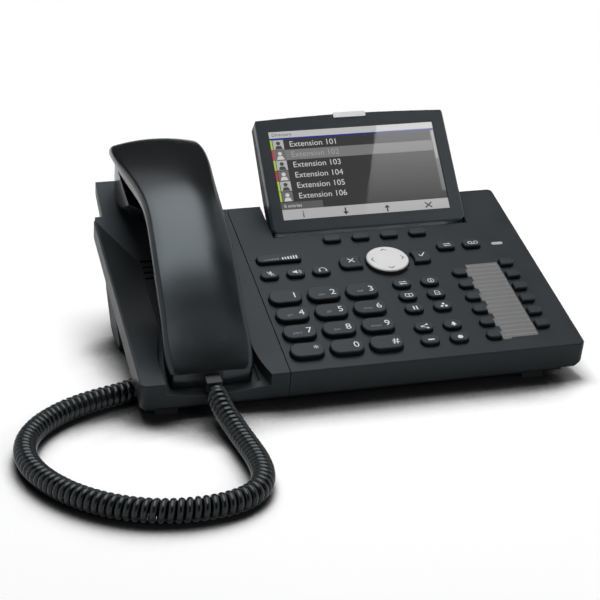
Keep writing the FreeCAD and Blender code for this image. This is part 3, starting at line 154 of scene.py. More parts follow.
# Curly cord: the route's points in the shared frame, from the handset to the tray
CORD_ROUTE = [(-77.95, -81.88, 15.09), (-77.95, -94.36, 11.44), (-75.15, -110.40, 6.9),
              (-73.35, -128.40, 5.6), (-72.15, -147.40, 5.6), (-73.55, -165.40, 5.6),
              (-80.25, -179.90, 5.6), (-93.25, -187.90, 5.6), (-110.75, -189.90, 5.6),
              (-128.75, -186.40, 5.6), (-147.25, -174.90, 5.6), (-162.25, -156.40, 5.6),
              (-171.75, -133.90, 5.6), (-173.75, -110.90, 5.6), (-167.25, -90.40, 5.6),
              (-152.75, -72.40, 5.6), (-133.75, -60.40, 5.6), (-114.75, -53.90, 5.6),
              (-100.75, -43.40, 6.8), (-91.25, -31.40, 9.8), (-79.85, -19.11, 14.23),
              (-68.25, -13.21, 16.83), (-55.25, -13.21, 16.83)]
COIL_DIAMETER = 11.0
WIRE_DIAMETER = 3.5
COIL_PITCH = 3.6
COIL_STEPS = 20
COIL_EASE = 7.0
WIRE_SIDES = 10
LIFTING_LENGTH = 86.0

# Materials: tints, levels of tone, and the relief of their grain
COOL = (0.88, 1.0, 1.10)
PLAIN = (1.0, 1.0, 1.0)
GLOSS_TINT = (0.82, 0.94, 1.0)
GLOSS_DRIFT = 0.4
RELIEF = 0.1
EDGE_RADIUS = 0.5
WHITE_INK = 0.60
DIM_INK = 0.16
DARK_INK = 0.05
LABEL_INK = 0.17
LAMP_LEVEL = 0.40
CALL_LAMP_LEVEL = 0.70
LAMP_CLEARNESS = 0.15

# Camera, in metres
CAMERA_PLACE = (-0.24220, -0.86583, 0.34685)
CAMERA_AIM = (0.23984, 0.91006, -0.33803)
CAMERA_LENS = 108
CAMERA_SENSOR = 36

# Studio, in metres
WORLD_LEVEL = 0.12
FLOOR_HALF = 6.0
FLOOR_LEVEL = 0.95
FLOOR_FADE = (0.25, 0.50)
# Painted shadow that only the camera sees on the floor near the phone: its tone, reach, fade and the way it
# looks
PAINTED_SHADOW_LEVEL = 0.03
PAINTED_SHADOW_REACH = 0.045
PAINTED_SHADOW_FADE = (0.50, 0.82)
PAINTED_SHADOW_LOOK = (0.30, 0.80, 0.52)
TUNNEL_HALF = 2.0
TUNNEL_RADIUS = 3.4
TUNNEL_FROM = 4
TUNNEL_STEPS = 24
SHEET_X = (-0.9, -0.4, 0.42, 0.72)
SHEET_Y = (-1.26, -0.50, -0.2, 2.2)
SHEET_HEIGHT = 1.5
SHEET_GLOW = 5.8
DISPLAY_FRONT = ("display_window", "display_bezel")
CARD_FADE = (0.29, 0.65)
CARD_GLOW = (0.2, 4.2)
CARD_EDGE = 0.57
CARD_SLANT = 0.088
CARD_RIGHT = 2.4
CARD_RISE = 0.8
CARD_REACH = 2.2
LAMP_AIM = (0.0, 0.0, 0.05)

# Lamps: place, size and power
OVER_LAMP = ((0.0, 0.42, 1.44), (0.9, 0.9), 24.0)
FRONT_LAMP = ((0.40, -1.30, 0.69), (0.8, 0.4), 4.8)


# Materials

def new_material(name):
    made = bpy.data.materials.new(name)
    made.use_nodes = True
    return made, made.node_tree.nodes, made.node_tree.links.new


def grey(level, tint=PLAIN):
    return (level * tint[0], level * tint[1], level * tint[2], 1.0)


def dimmed(colour, share):
    """The same colour at a share of its level."""
    return tuple(share * part for part in colour[:3]) + (1.0,)


def object_place(nodes):
    return nodes.new("ShaderNodeTexCoord").outputs["Object"]


def noise(nodes, link, place, scale, detail):
    made = nodes.new("ShaderNodeTexNoise")
    made.inputs["Scale"].default_value = scale
    made.inputs["Detail"].default_value = detail
    link(place, made.inputs["Vector"])
    return made.outputs["Fac"]


def ranged(nodes, link, value, low, high, to_low, to_high, smooth=False):
    made = nodes.new("ShaderNodeMapRange")
    made.interpolation_type = "SMOOTHSTEP" if smooth else "LINEAR"
    for name, number in (("From Min", low), ("From Max", high), ("To Min", to_low), ("To Max", to_high)):
        made.inputs[name].default_value = number
    link(value, made.inputs["Value"])
    return made.outputs["Result"]


def product(nodes, link, first, second):
    made = nodes.new("ShaderNodeMath")
    made.operation = "MULTIPLY"
    link(first, made.inputs[0])
    link(second, made.inputs[1])
    return made.outputs["Value"]


def facing_panel(nodes, link):
    """1 where the surface lies along the panel, 0 where it turns away from it."""
    facing = nodes.new("ShaderNodeVectorMath")
    facing.operation = "DOT_PRODUCT"
    facing.inputs[1].default_value = PANEL_NORMAL
    link(nodes.new("ShaderNodeTexCoord").outputs["Normal"], facing.inputs[0])
    return ranged(nodes, link, facing.outputs["Value"], 0.55, 0.8, 0.0, 1.0)


def mixed(nodes, link, factor, first, second):
    """Mix of two colours, each a socket or a plain colour."""
    made = nodes.new("ShaderNodeMix")
    made.data_type = "RGBA"
    link(factor, made.inputs["Factor"])
    for colour, socket in ((first, made.inputs[6]), (second, made.inputs[7])):
        if isinstance(colour, tuple):
            socket.default_value = colour
        else:
            link(colour, socket)
    return made.outputs[2]


def edge_mask(nodes, link, radius):
    """How close a point is to a sharp edge, and the normal rounded over it."""
    rounded = nodes.new("ShaderNodeBevel")
    rounded.samples = 4
    rounded.inputs["Radius"].default_value = radius
    plain = nodes.new("ShaderNodeNewGeometry")
    facing = nodes.new("ShaderNodeVectorMath")
    facing.operation = "DOT_PRODUCT"
    link(rounded.outputs["Normal"], facing.inputs[0])
    link(plain.outputs["Normal"], facing.inputs[1])
    mask = ranged(nodes, link, facing.outputs["Value"], 1.0, 0.75, 0.0, 1.0)
    return mask, rounded.outputs["Normal"]


def relief(nodes, link, height, strength):
    """Bump from a height, which takes its normal from what is linked to it."""
    made = nodes.new("ShaderNodeBump")
    made.inputs["Strength"].default_value = strength
    made.inputs["Distance"].default_value = RELIEF * MM
    link(height, made.inputs["Height"])
    return made


def moulded(name, level, tint, roughness, specular,
            grain=2400.0, depth=0.12, drift=0.12, edge_wear_and_highlight=1.5, side=1.0):
    """Moulded plastic: a fine grain, slow drift of tone and gloss, and edges painted lighter, partly as
    rubbed wear and partly as a painted highlight along them.

    Side is how much of its tone it keeps where it turns away from the panel, as painted shade on the sides
    of a key."""
    made, nodes, link = new_material(name)
    shader = nodes["Principled BSDF"]
    shader.inputs["Specular IOR Level"].default_value = specular
    shader.inputs["Specular Tint"].default_value = grey(1.0, GLOSS_TINT)
    place = object_place(nodes)
    slow = noise(nodes, link, place, 55.0, 4.0)
    fine = noise(nodes, link, place, grain, 2.0)
    tone = mixed(nodes, link, slow, grey(level * (1 - drift), tint), grey(level * (1 + drift), tint))
    mask, normal = edge_mask(nodes, link, EDGE_RADIUS * MM)
    # Edges lighter: partly rubbed wear, partly a painted highlight line
    tone = mixed(nodes, link, mask, tone, grey(level * edge_wear_and_highlight, tint))
    # Painted shade: surfaces that turn away from the panel, such as the sides of keys, are darkened
    if side < 1:
        tone = mixed(nodes, link, facing_panel(nodes, link), grey(level * side, tint), tone)
    link(tone, shader.inputs["Base Color"])
    sway = GLOSS_DRIFT * drift
    gloss = ranged(nodes, link, slow, 0.3, 0.7, roughness - sway, roughness + sway)
    link(gloss, shader.inputs["Roughness"])
    bump = relief(nodes, link, fine, depth)
    link(normal, bump.inputs["Normal"])
    link(bump.outputs["Normal"], shader.inputs["Normal"])
    return made


def case_materials():
    return {
        # The case's edges much lighter: mostly a painted highlight line along them
        "charcoal_case": moulded("charcoal_case", 0.017, COOL, 0.40, 0.13, edge_wear_and_highlight=2.6),
        "black_case": moulded("black_case", 0.010, COOL, 0.55, 0.15),
        "handset_shell": moulded("handset_shell", 0.009, COOL, 0.21, 0.40,
                                 grain=3200.0, depth=0.03, drift=0.03, edge_wear_and_highlight=1.2),
        # Key sides kept at 0.3 of the tone: painted shade
        "key_cap": moulded("key_cap", 0.023, COOL, 0.42, 0.14, grain=3000.0, depth=0.08, side=0.3),
        "bezel": moulded("bezel", 0.033, COOL, 0.40, 0.60),
        "rubber": moulded("rubber", 0.016, PLAIN, 0.85, 0.20, grain=900.0, depth=0.4),
        "cord": moulded("cord", 0.005, PLAIN, 0.22, 0.32, grain=1500.0, depth=0.03, edge_wear_and_highlight=1.2),
        "plug": moulded("plug", 0.008, PLAIN, 0.35, 0.20, grain=1500.0, depth=0.03),
        "socket": moulded("socket", 0.012, PLAIN, 0.40, 0.30),
        "speaker": moulded("speaker", 0.018, PLAIN, 0.70, 0.20, grain=1200.0, depth=0.3),
    }


def faced_pad(name):
    """Navigation pad: a pale satin face, with dark plastic where the surface turns away from the panel."""
    made, nodes, link = new_material(name)
    shader = nodes["Principled BSDF"]
    shader.inputs["Specular IOR Level"].default_value = 0.4
    place = object_place(nodes)
    slow = noise(nodes, link, place, 180.0, 3.0)
    fine = noise(nodes, link, place, 3000.0, 2.0)
    face = mixed(nodes, link, slow, grey(0.50), grey(0.56))
    link(mixed(nodes, link, facing_panel(nodes, link), grey(0.015), face), shader.inputs["Base Color"])
    link(ranged(nodes, link, slow, 0.3, 0.7, 0.38, 0.48), shader.inputs["Roughness"])
    link(relief(nodes, link, fine, 0.06).outputs["Normal"], shader.inputs["Normal"])
    return made


def lens(name, level, transmission):
    """Milky lamp lens with fine flutes inside."""
    made, nodes, link = new_material(name)
    shader = nodes["Principled BSDF"]
    shader.inputs["Transmission Weight"].default_value = transmission
    place = object_place(nodes)
    flutes = nodes.new("ShaderNodeTexWave")
    flutes.bands_direction = "X"
    flutes.inputs["Scale"].default_value = 350.0
    flutes.inputs["Distortion"].default_value = 0.3
    link(place, flutes.inputs["Vector"])
    ridge = flutes.outputs["Fac"]
    link(mixed(nodes, link, ridge, grey(level * 0.9), grey(level * 1.1)), shader.inputs["Base Color"])
    link(ranged(nodes, link, ridge, 0.0, 1.0, 0.28, 0.36), shader.inputs["Roughness"])
    return made


def clear(name, roughness):
    """Clear window with faint smears in its gloss."""
    made, nodes, link = new_material(name)
    shader = nodes["Principled BSDF"]
    shader.inputs["Base Color"].default_value = grey(0.97)
    shader.inputs["Transmission Weight"].default_value = 1.0
    place = object_place(nodes)
    smear = noise(nodes, link, place, 120.0, 5.0)
    link(ranged(nodes, link, smear, 0.3, 0.7, roughness * 0.7, roughness * 1.4), shader.inputs["Roughness"])
    return made


def paper(name, level, coat):
    """Fibrous card, with a clear cover over it where coat is 1."""
    made, nodes, link = new_material(name)
    shader = nodes["Principled BSDF"]
    shader.inputs["Specular IOR Level"].default_value = 0.2
    shader.inputs["Coat Weight"].default_value = coat
    shader.inputs["Coat Roughness"].default_value = 0.2
    place = object_place(nodes)
    fibre = noise(nodes, link, place, 1400.0, 6.0)
    link(mixed(nodes, link, fibre, grey(level * 0.92), grey(level * 1.08)), shader.inputs["Base Color"])
    link(ranged(nodes, link, fibre, 0.3, 0.7, 0.7, 0.85), shader.inputs["Roughness"])
    return made


def ink(name, level):
    """Printed ink, a little uneven where it is thin."""
    made, nodes, link = new_material(name)
    shader = nodes["Principled BSDF"]
    shader.inputs["Specular IOR Level"].default_value = 0.3
    place = object_place(nodes)
    thin = noise(nodes, link, place, 1800.0, 3.0)
    link(mixed(nodes, link, thin, grey(level * 0.85), grey(level * 1.1)), shader.inputs["Base Color"])
    link(ranged(nodes, link, thin, 0.3, 0.7, 0.45, 0.6), shader.inputs["Roughness"])
    return made


def glowing(name, colour):
    """One tone of the screen's picture, with the faint grid of its pixels."""
    made, nodes, link = new_material(name)
    shader = nodes["Principled BSDF"]
    shader.inputs["Base Color"].default_value = grey(0.01)
    shader.inputs["Roughness"].default_value = 0.6
    shader.inputs["Specular IOR Level"].default_value = 0.0
    place = object_place(nodes)
    grid = nodes.new("ShaderNodeTexWave")
    grid.bands_direction = "X"
    grid.inputs["Scale"].default_value = 800.0
    link(place, grid.inputs["Vector"])
    lit = mixed(nodes, link, grid.outputs["Fac"], dimmed(colour, 0.94), colour)
    link(lit, shader.inputs["Emission Color"])
    shader.inputs["Emission Strength"].default_value = 1.0
    return made


def metal(name, colour, roughness):
    """Brushed metal, uneven in tone and gloss."""
    made, nodes, link = new_material(name)
    shader = nodes["Principled BSDF"]
    shader.inputs["Metallic"].default_value = 1.0
    place = object_place(nodes)
    brushed = noise(nodes, link, place, 900.0, 4.0)
    link(mixed(nodes, link, brushed, dimmed(colour, 0.8), colour), shader.inputs["Base Color"])
    gloss = ranged(nodes, link, brushed, 0.3, 0.7, roughness * 0.8, roughness * 1.3)
    link(gloss, shader.inputs["Roughness"])
    return made


def circuit_board(name):
    """Solder mask over traces that run along the board."""
    made, nodes, link = new_material(name)
    shader = nodes["Principled BSDF"]
    place = object_place(nodes)
    traces = nodes.new("ShaderNodeTexBrick")
    traces.inputs["Scale"].default_value = 90.0
    traces.inputs["Color1"].default_value = (0.010, 0.060, 0.030, 1.0)
    traces.inputs["Color2"].default_value = (0.014, 0.080, 0.040, 1.0)
    traces.inputs["Mortar"].default_value = (0.030, 0.120, 0.060, 1.0)
    link(place, traces.inputs["Vector"])
    link(traces.outputs["Color"], shader.inputs["Base Color"])
    shader.inputs["Roughness"].default_value = 0.35
    return made


def dress_nodes():
    """Gives every CAD node the material of its slot."""
    materials = case_materials()
    materials["navigation_cap"] = faced_pad("navigation_cap")
    materials["lamp_lens"] = lens("lamp_lens", LAMP_LEVEL, LAMP_CLEARNESS)
    materials["label_cover"] = paper("label_cover", LABEL_LEVEL, 1.0)
    materials["screen_window"] = clear("screen_window", 0.02)
    materials["label_paper"] = paper("label_paper", LABEL_LEVEL, 0.0)
    materials["screen"] = glowing("screen", grey(0.012))
    materials["steel"] = metal("steel", (0.55, 0.55, 0.56, 1.0), 0.3)
    materials["circuit_board"] = circuit_board("circuit_board")
    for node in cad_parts.values():
        for place in node.material_slots:
            place.material = materials[place.material.name.split(".")[0]]
    call_lamp = lens("call_lamp_lens", CALL_LAMP_LEVEL, LAMP_CLEARNESS)
    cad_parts["call_lamp"].material_slots[0].material = call_lamp
    return materials


# Printed marks and pictures

def new_piece(name, mesh, materials):
    """A finished mesh as an object of the scene."""
    made = bpy.data.meshes.new(name)
    mesh.to_mesh(made)
    mesh.free()
    for material in materials:
        made.materials.append(material)
    piece = bpy.data.objects.new(name, made)
    bpy.context.scene.collection.objects.link(piece)
    return piece


class Print:
    """Flat shapes on one plane, gathered into one mesh that rides on a body."""

    def __init__(self, name, place, height, material):
        self.name = name
        self.place = place
        self.height = height
        self.mesh = bmesh.new()
        self.materials = [material]

    def polygon(self, points, lift=0.0, material=None):
        if material is not None and material not in self.materials:
            self.materials.append(material)
        corners = [self.mesh.verts.new(self.place @ Vector((u, v, self.height + lift))) for u, v in points]
        face = self.mesh.faces.new(corners)
        face.material_index = 0 if material is None else self.materials.index(material)

    def bar(self, u0, u1, v0, v1, lift=0.0, material=None):
        self.polygon([(u0, v0), (u1, v0), (u1, v1), (u0, v1)], lift, material)

    def disc(self, u, v, radius, lift=0.0, material=None, sides=20):
        turns = [math.tau * i / sides for i in range(sides)]
        self.polygon([(u + radius * math.cos(a), v + radius * math.sin(a)) for a in turns], lift, material)

    def stroke(self, points, width=STROKE, lift=0.0, material=None):
        """Line of one width with round ends and bends."""
        for (u0, v0), (u1, v1) in zip(points, points[1:]):
            run = math.hypot(u1 - u0, v1 - v0)
            du = (v0 - v1) / run * width / 2
            dv = (u1 - u0) / run * width / 2
            corners = [(u0 - du, v0 - dv), (u1 - du, v1 - dv), (u1 + du, v1 + dv), (u0 + du, v0 + dv)]
            self.polygon(corners, lift, material)
        for u, v in points:
            self.disc(u, v, width / 2, lift, material, 10)

    def arc(self, u, v, radius, start, end, width=STROKE):
        steps = 14
        turns = [math.radians(start + (end - start) * i / steps) for i in range(steps + 1)]
        self.stroke([(u + radius * math.cos(a), v + radius * math.sin(a)) for a in turns], width)

    def text(self, words, u, v, size, align="CENTER", lift=0.0, material=None):
        """Words in the built-in typeface, with the middle of their height at v."""
        curve = bpy.data.curves.new("words", "FONT")
        curve.body = words
        curve.size = size
        curve.align_x = align
        curve.align_y = "CENTER"
        curve.resolution_u = 4
        holder = bpy.data.objects.new("words", curve)
        flat = bpy.data.meshes.new_from_object(holder)
        for face in flat.polygons:
            outline = [flat.vertices[i].co for i in face.vertices]
            self.polygon([(u + p.x, v + p.y) for p in outline], lift, material)
        bpy.data.objects.remove(holder)
        bpy.data.curves.remove(curve)
        bpy.data.meshes.remove(flat)

    def finish(self, body):
        bmesh.ops.remove_doubles(self.mesh, verts=self.mesh.verts, dist=WELD)
        piece = new_piece(self.name, self.mesh, self.materials)
        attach(piece, body)


def chevron(page, u, v, turn, size):
    """Open arrow head pointing along turn, in degrees from +u."""
    ends = [(math.radians(turn + lean), size * out) for lean, out in ((115, 1), (0, 0.35), (-115, 1))]
    page.stroke([(u + r * math.cos(a), v + r * math.sin(a)) for a, r in ends], 0.5)


def arrow(page, u, v, turn, size):
    """Solid arrow head pointing along turn, in degrees from +u."""
    turns = [math.radians(turn + t) for t in (0, 140, 220)]
    page.polygon([(u + size * math.cos(a), v + size * math.sin(a)) for a in turns])


def mute_sign(page, u, v):
    page.stroke([(u, v + 0.2), (u, v + 1.6)], 1.1)
    page.arc(u, v + 0.4, 1.2, 180, 360, 0.35)
    page.stroke([(u, v - 0.8), (u, v - 1.6)], 0.4)
    page.stroke([(u - 1.7, v + 1.7), (u + 1.7, v - 1.5)], 0.4)


def speaker_sign(page, u, v):
    page.polygon([(u - 2.2, v - 0.6), (u - 1.2, v - 0.6), (u - 1.2, v + 0.6), (u - 2.2, v + 0.6)])
    page.polygon([(u - 1.2, v - 0.6), (u + 0.2, v - 1.7), (u + 0.2, v + 1.7), (u - 1.2, v + 0.6)])
    for radius in (1.0, 1.9):
        page.arc(u + 0.3, v, radius, -48, 48, 0.4)


def headset_sign(page, u, v):
    page.arc(u, v - 0.2, 1.9, 0, 180, 0.5)
    for side in (-1, 1):
        page.stroke([(u + side * 1.8, v - 1.2), (u + side * 1.8, v - 0.2)], 0.9)


def cross_sign(page, u, v):
    for side in (-1, 1):
        page.stroke([(u - 1.5, v - side * 1.5), (u + 1.5, v + side * 1.5)], 0.55)


def tick_sign(page, u, v):
    page.stroke([(u - 1.5, v - 0.1), (u - 0.4, v - 1.4), (u + 1.7, v + 1.6)], 0.55)


def swap_sign(page, u, v):
    for side in (-1, 1):
        page.stroke([(u - side * 1.9, v + side * 0.8), (u + side * 1.2, v + side * 0.8)], 0.45)
        arrow(page, u + side * 1.4, v + side * 0.8, 0 if side > 0 else 180, 0.9)


def tape_sign(page, u, v):
    for side in (-1, 1):
        page.arc(u + side * 1.6, v, 1.1, 0, 360, 0.55)
    page.stroke([(u - 1.6, v - 1.1), (u + 1.6, v - 1.1)], 0.5)


def info_sign(page, u, v):
    page.arc(u, v, 1.6, 0, 360, 0.45)
    page.stroke([(u, v - 0.8), (u, v + 0.2)], 0.5)
    page.disc(u, v + 0.9, 0.3)


def book_sign(page, u, v):
    for side in (-1, 1):
        outer = u + side * 1.9
        page.stroke([(u, v - 1.3), (outer, v - 1.0), (outer, v + 1.4), (u, v + 1.1), (u, v - 1.3)], 0.4)


def page_sign(page, u, v):
    page.stroke([(u - 1.2, v - 1.6), (u + 1.2, v - 1.6), (u + 1.2, v + 0.9), (u + 0.5, v + 1.6),
                 (u - 1.2, v + 1.6), (u - 1.2, v - 1.6)], 0.4)
    page.stroke([(u - 0.5, v - 0.3), (u + 0.5, v - 0.3)], 0.35)


def hold_sign(page, u, v):
    for side in (-1, 1):
        page.stroke([(u + side * 0.8, v - 1.2), (u + side * 0.8, v + 1.2)], 0.8)


def conference_sign(page, u, v):
    for turn in (90, 210, 330):
        a = math.radians(turn)
        page.disc(u + 1.3 * math.cos(a), v + 1.3 * math.sin(a), 0.75)


def nodes_sign(page, u, v):
    ends = [(u - 1.5, v), (u + 1.3, v + 1.4), (u + 1.3, v - 1.4)]
    page.stroke([ends[1], ends[0], ends[2]], 0.35)
    for end in ends:
        page.disc(*end, 0.65)


def bell_sign(page, u, v):
    page.polygon([(u - 1.5, v - 0.9), (u + 1.5, v - 0.9), (u + 0.9, v - 0.1), (u + 0.7, v + 1.1),
                  (u, v + 1.6), (u - 0.7, v + 1.1), (u - 0.9, v - 0.1)])
    page.disc(u, v - 1.4, 0.45)


def bar_sign(page, u, v):
    page.stroke([(u - 1.2, v), (u + 1.2, v)], 1.1)


def dot_sign(page, u, v):
    page.disc(u, v, 1.4)


def print_digits(white, dim):
    """A sign at the right of each digit key, with its letters beside it."""
    for row, names in enumerate(DIGITS):
        for column, name in enumerate(names):
            u = DIGIT_PITCH[0] * column
            v = -DIGIT_PITCH[1] * row
            page = Print(name + "_sign", PANEL, DIGIT_RISE + PRINT_LIFT, white)
            sign = DIGIT_SIGNS[row][column]
            page.text(sign, u + SIGN_PLACE[0], v + SIGN_PLACE[1], SIGN_SIZE)
            letters = DIGIT_LETTERS[row][column]
            if letters:
                page.text(letters, u + LETTER_PLACE[0], v + LETTER_PLACE[1], LETTER_SIZE, material=dim)
            page.finish(name)


def print_signs(white):
    """Signs of the audio keys, the side keys and the two keys beside the navigation pad."""
    signs = []
    for names, draws, (first, v), pitch in (
            (AUDIO_NAMES, (mute_sign, speaker_sign, headset_sign), AUDIO_PLACE, AUDIO_PITCH),
            (SIDE_NAMES, (swap_sign, tape_sign), SIDE_PLACE, SIDE_PITCH)):
        for i, (name, draw) in enumerate(zip(names, draws)):
            signs.append((name, draw, (first + pitch * i, v)))
    signs.append(("cancel_key", cross_sign, CANCEL_PLACE))
    signs.append(("confirm_key", tick_sign, CONFIRM_PLACE))
    for name, draw, place in signs:
        page = Print(name + "_sign", PANEL, SMALL_RISE + PRINT_LIFT, white)
        draw(page, *place)
        page.finish(name)


def print_features(white):
    """Signs of the oval keys, in rows of two."""
    upper = (swap_sign, info_sign, book_sign, page_sign, hold_sign, conference_sign)
    lower = (nodes_sign, bell_sign, bar_sign, dot_sign)
    groups = [("feature_keys_upper", 0, 0.0, upper), ("feature_keys_lower", 3, FEATURE_BREAK, lower)]
    for name, first, shift, signs in groups:
        page = Print(name + "_signs", PANEL, SMALL_RISE + PRINT_LIFT, white)
        for i, draw in enumerate(signs):
            u = FEATURE_PLACE[0] + FEATURE_PITCH[0] * (i % 2) + FEATURE_MIDDLE[0]
            v = FEATURE_PLACE[1] - FEATURE_PITCH[1] * (first + i // 2) - shift + FEATURE_MIDDLE[1]
            draw(page, u, v)
        page.finish(name)


def print_rocker(white, dim):
    """Ticks that grow from quiet, in dim ink, to loud."""
    page = Print("volume_ticks", PANEL, SMALL_RISE + PRINT_LIFT, white)
    for i in range(ROCKER_TICKS):
        from_middle = i - (ROCKER_TICKS - 1) / 2
        u = ROCKER_PLACE[0] + from_middle * ROCKER_PITCH + math.copysign(ROCKER_BREAK / 2, from_middle)
        height = TICK_HEIGHT + TICK_GROWTH * i / (ROCKER_TICKS - 1)
        foot = ROCKER_PLACE[1] - TICK_FOOT
        tone = dim if from_middle < 0 else white
        page.bar(u - TICK_HALF_WIDTH, u + TICK_HALF_WIDTH, foot, foot + height, material=tone)
    page.finish("volume_rocker")


def print_arrows(dark):
    """An open arrow head at each of the navigation pad's four sides."""
    page = Print("navigation_arrows", PANEL, NAV_RISE + PRINT_LIFT, dark)
    for turn in (0, 90, 180, 270):
        a = math.radians(turn)
        u = NAV_PLACE[0] + NAV_ARROW_OUT * math.cos(a)
        v = NAV_PLACE[1] + NAV_ARROW_OUT * math.sin(a)
        chevron(page, u, v, turn, 1.7)
    page.finish("navigation_pad")


def print_label(cover, pale):
    """The label cover's two edges, which lap over the panel, and the lines seen through it."""
    page = Print("label_lines", PANEL, PRINT_LIFT, cover)
    left, right, front, rear = STRIP
    page.bar(left, STRIP_WINDOW[0], front, rear)
    page.bar(STRIP_WINDOW[1], right, front, rear)
    for i in range(LABEL_LINES):
        v = front + (rear - front) * (i + 0.5) / LABEL_LINES
        page.bar(left + LABEL_MARGIN, right - LABEL_MARGIN, v - LABEL_LINE_HALF, v + LABEL_LINE_HALF,
                 PRINT_LIFT, pale)
    page.finish("base")


def screen_picture():
    """A plain list: a header, entries with one marked, and four signs over the context keys."""
    left, low, width, height = SCREEN
    tones = {name: glowing("screen_" + name, colour) for name, colour in (
        ("list", grey(0.044)), ("header", grey(0.54)), ("line", (0.03, 0.04, 0.26, 1.0)),
        ("marked", grey(0.20)), ("text", grey(0.62)), ("dim", grey(0.36)),
        ("bar", grey(0.45)), ("sign", grey(0.035)), ("status", grey(0.115)),
        ("tile", grey(0.16)), ("pale_tile", grey(0.46)),
        ("figure", grey(0.62)), ("dark_figure", grey(0.07)),
        ("green", (0.42, 0.64, 0.05, 1.0)), ("red", (0.60, 0.05, 0.06, 1.0)))}
    page = Print("screen_picture", DISPLAY, SCREEN_TOP, tones["list"])

    def at(x, y):
        """A point of the screen from shares of its width and of its height from the top."""
        return left + x * width, low + (1 - y) * height

    def block(x0, x1, y0, y1, lift, tone):
        (u0, v1), (u1, v0) = at(x0, y0), at(x1, y1)
        page.bar(u0, u1, v0, v1, lift, tones[tone])

    def words(said, x, y, size, tone):
        page.text(said, *at(x, y), size, "LEFT", WORDS_LIFT, tones[tone])

    block(0, 1, 0, 1, 0, "list")
    block(0, 1, 0, HEADER_END, FIELD_LIFT, "header")
    block(0, 1, HEADER_END, LINE_END, FIELD_LIFT, "line")
    words("Directory", WORDS_MARGIN, HEADER_END / 2, SMALL_WORDS, "sign")
    for i in range(ENTRY_COUNT):
        top = LIST_START + ENTRY_PITCH * i
        low_edge = top + ENTRY_PITCH - ENTRY_GAP
        if i == MARKED_ENTRY:
            block(0, ENTRY_END, top, top + ENTRY_PITCH, FIELD_LIFT, "marked")
        block(0, MARK_WIDTH, top, low_edge, MARK_LIFT, "red" if i in BUSY_ENTRIES else "green")
        block(*TILE_SPAN, top + ENTRY_GAP / 2, low_edge, MARK_LIFT, "tile" if i % 2 else "pale_tile")
        figure = tones["figure" if i % 2 else "dark_figure"]
        u, v = at(sum(TILE_SPAN) / 2, top + HEAD_DOWN)
        page.disc(u, v, 1.15, WORDS_LIFT, figure)
        shoulders = [(u - 2.2, v - 3.6), (u + 2.2, v - 3.6), (u + 1.3, v - 1.5), (u - 1.3, v - 1.5)]
        page.polygon(shoulders, WORDS_LIFT, figure)
        tone = "dim" if i == MARKED_ENTRY else "text"
        words(f"Extension {FIRST_NUMBER + i}", WORDS_START, top + ENTRY_PITCH / 2, ENTRY_WORDS, tone)
    block(SCROLL_START, 1, LIST_START, LIST_END, SCROLL_LIFT, "tile")
    block(*SCROLL_THUMB, THUMB_LIFT, "dim")
    block(0, STATUS_WIDTH, STATUS_START, BAR_START, FIELD_LIFT, "status")
    words(f"{ENTRY_COUNT} entries", WORDS_MARGIN, (STATUS_START + BAR_START) / 2, SMALL_WORDS, "text")
    block(0, 1, BAR_START, 1, MARK_LIFT, "bar")
    dark = tones["sign"]
    info, down, up, close = [at((i + 0.5) / BAR_SIGNS, (BAR_START + 1) / 2) for i in range(BAR_SIGNS)]
    page.text("i", *info, SIGN_WORDS, "CENTER", WORDS_LIFT, dark)
    for (u, v), lean in ((down, -1), (up, 1)):
        page.stroke([(u, v - lean * 1.9), (u, v + lean * 1.0)], 0.8, WORDS_LIFT, dark)
        head = [(u - 1.6, v + lean * 0.2), (u + 1.6, v + lean * 0.2), (u, v + lean * 2.0)]
        page.polygon(head, WORDS_LIFT, dark)
    u, v = close
    for side in (-1, 1):
        page.stroke([(u - 1.7, v - side * 1.4), (u + 1.7, v + side * 1.4)], 0.7, WORDS_LIFT, dark)
    page.finish("display")


# Curly cord

def read_route():
    """Points along the smooth curve that has the route's points as its controls, in metres."""
    curve = bpy.data.curves.new("cord_route", "CURVE")
    curve.dimensions = "3D"
    curve.resolution_u = 24
    spline = curve.splines.new("NURBS")
    spline.points.add(len(CORD_ROUTE) - 1)
    for control, point in zip(spline.points, CORD_ROUTE):
        control.co = (*(Vector(point) * MM), 1.0)
    spline.order_u = 3
    spline.use_endpoint_u = True
    holder = bpy.data.objects.new("cord_route", curve)
    line = bpy.data.meshes.new_from_object(holder)
    points = [vertex.co.copy() for vertex in line.vertices]
    bpy.data.objects.remove(holder)
    bpy.data.curves.remove(curve)
    bpy.data.meshes.remove(line)
    return points


def even_steps(points, step):
    """The same line in steps of one length."""
    made = [points[0]]
    walked = 0.0
    target = step
    for start, end in zip(points, points[1:]):
        run = (end - start).length
        while target <= walked + run:
            made.append(start.lerp(end, (target - walked) / run))
            target += step
        walked += run
    return made


def coil_line():
    """Centre line of the wire: a helix about the route that closes in on it at both ends."""
    step = COIL_PITCH * MM / COIL_STEPS
    route = even_steps(read_route(), step)
    radius = (COIL_DIAMETER - WIRE_DIAMETER) / 2 * MM
    ease = COIL_EASE * MM
    total = step * (len(route) - 1)
    line = []
    outward = []
    for i, point in enumerate(route):
        along = (route[min(i + 1, len(route) - 1)] - route[max(i - 1, 0)]).normalized()
        side = along.cross(Vector((0, 0, 1))).normalized()
        up = side.cross(along)
        angle = math.tau * i / COIL_STEPS
        reach = min(1.0, step * i / ease, (total - step * i) / ease)
        reach = reach * reach * (3 - 2 * reach)
        out = side * math.cos(angle) + up * math.sin(angle)
        line.append(point + out * radius * reach)
        outward.append(out)
    return line, outward


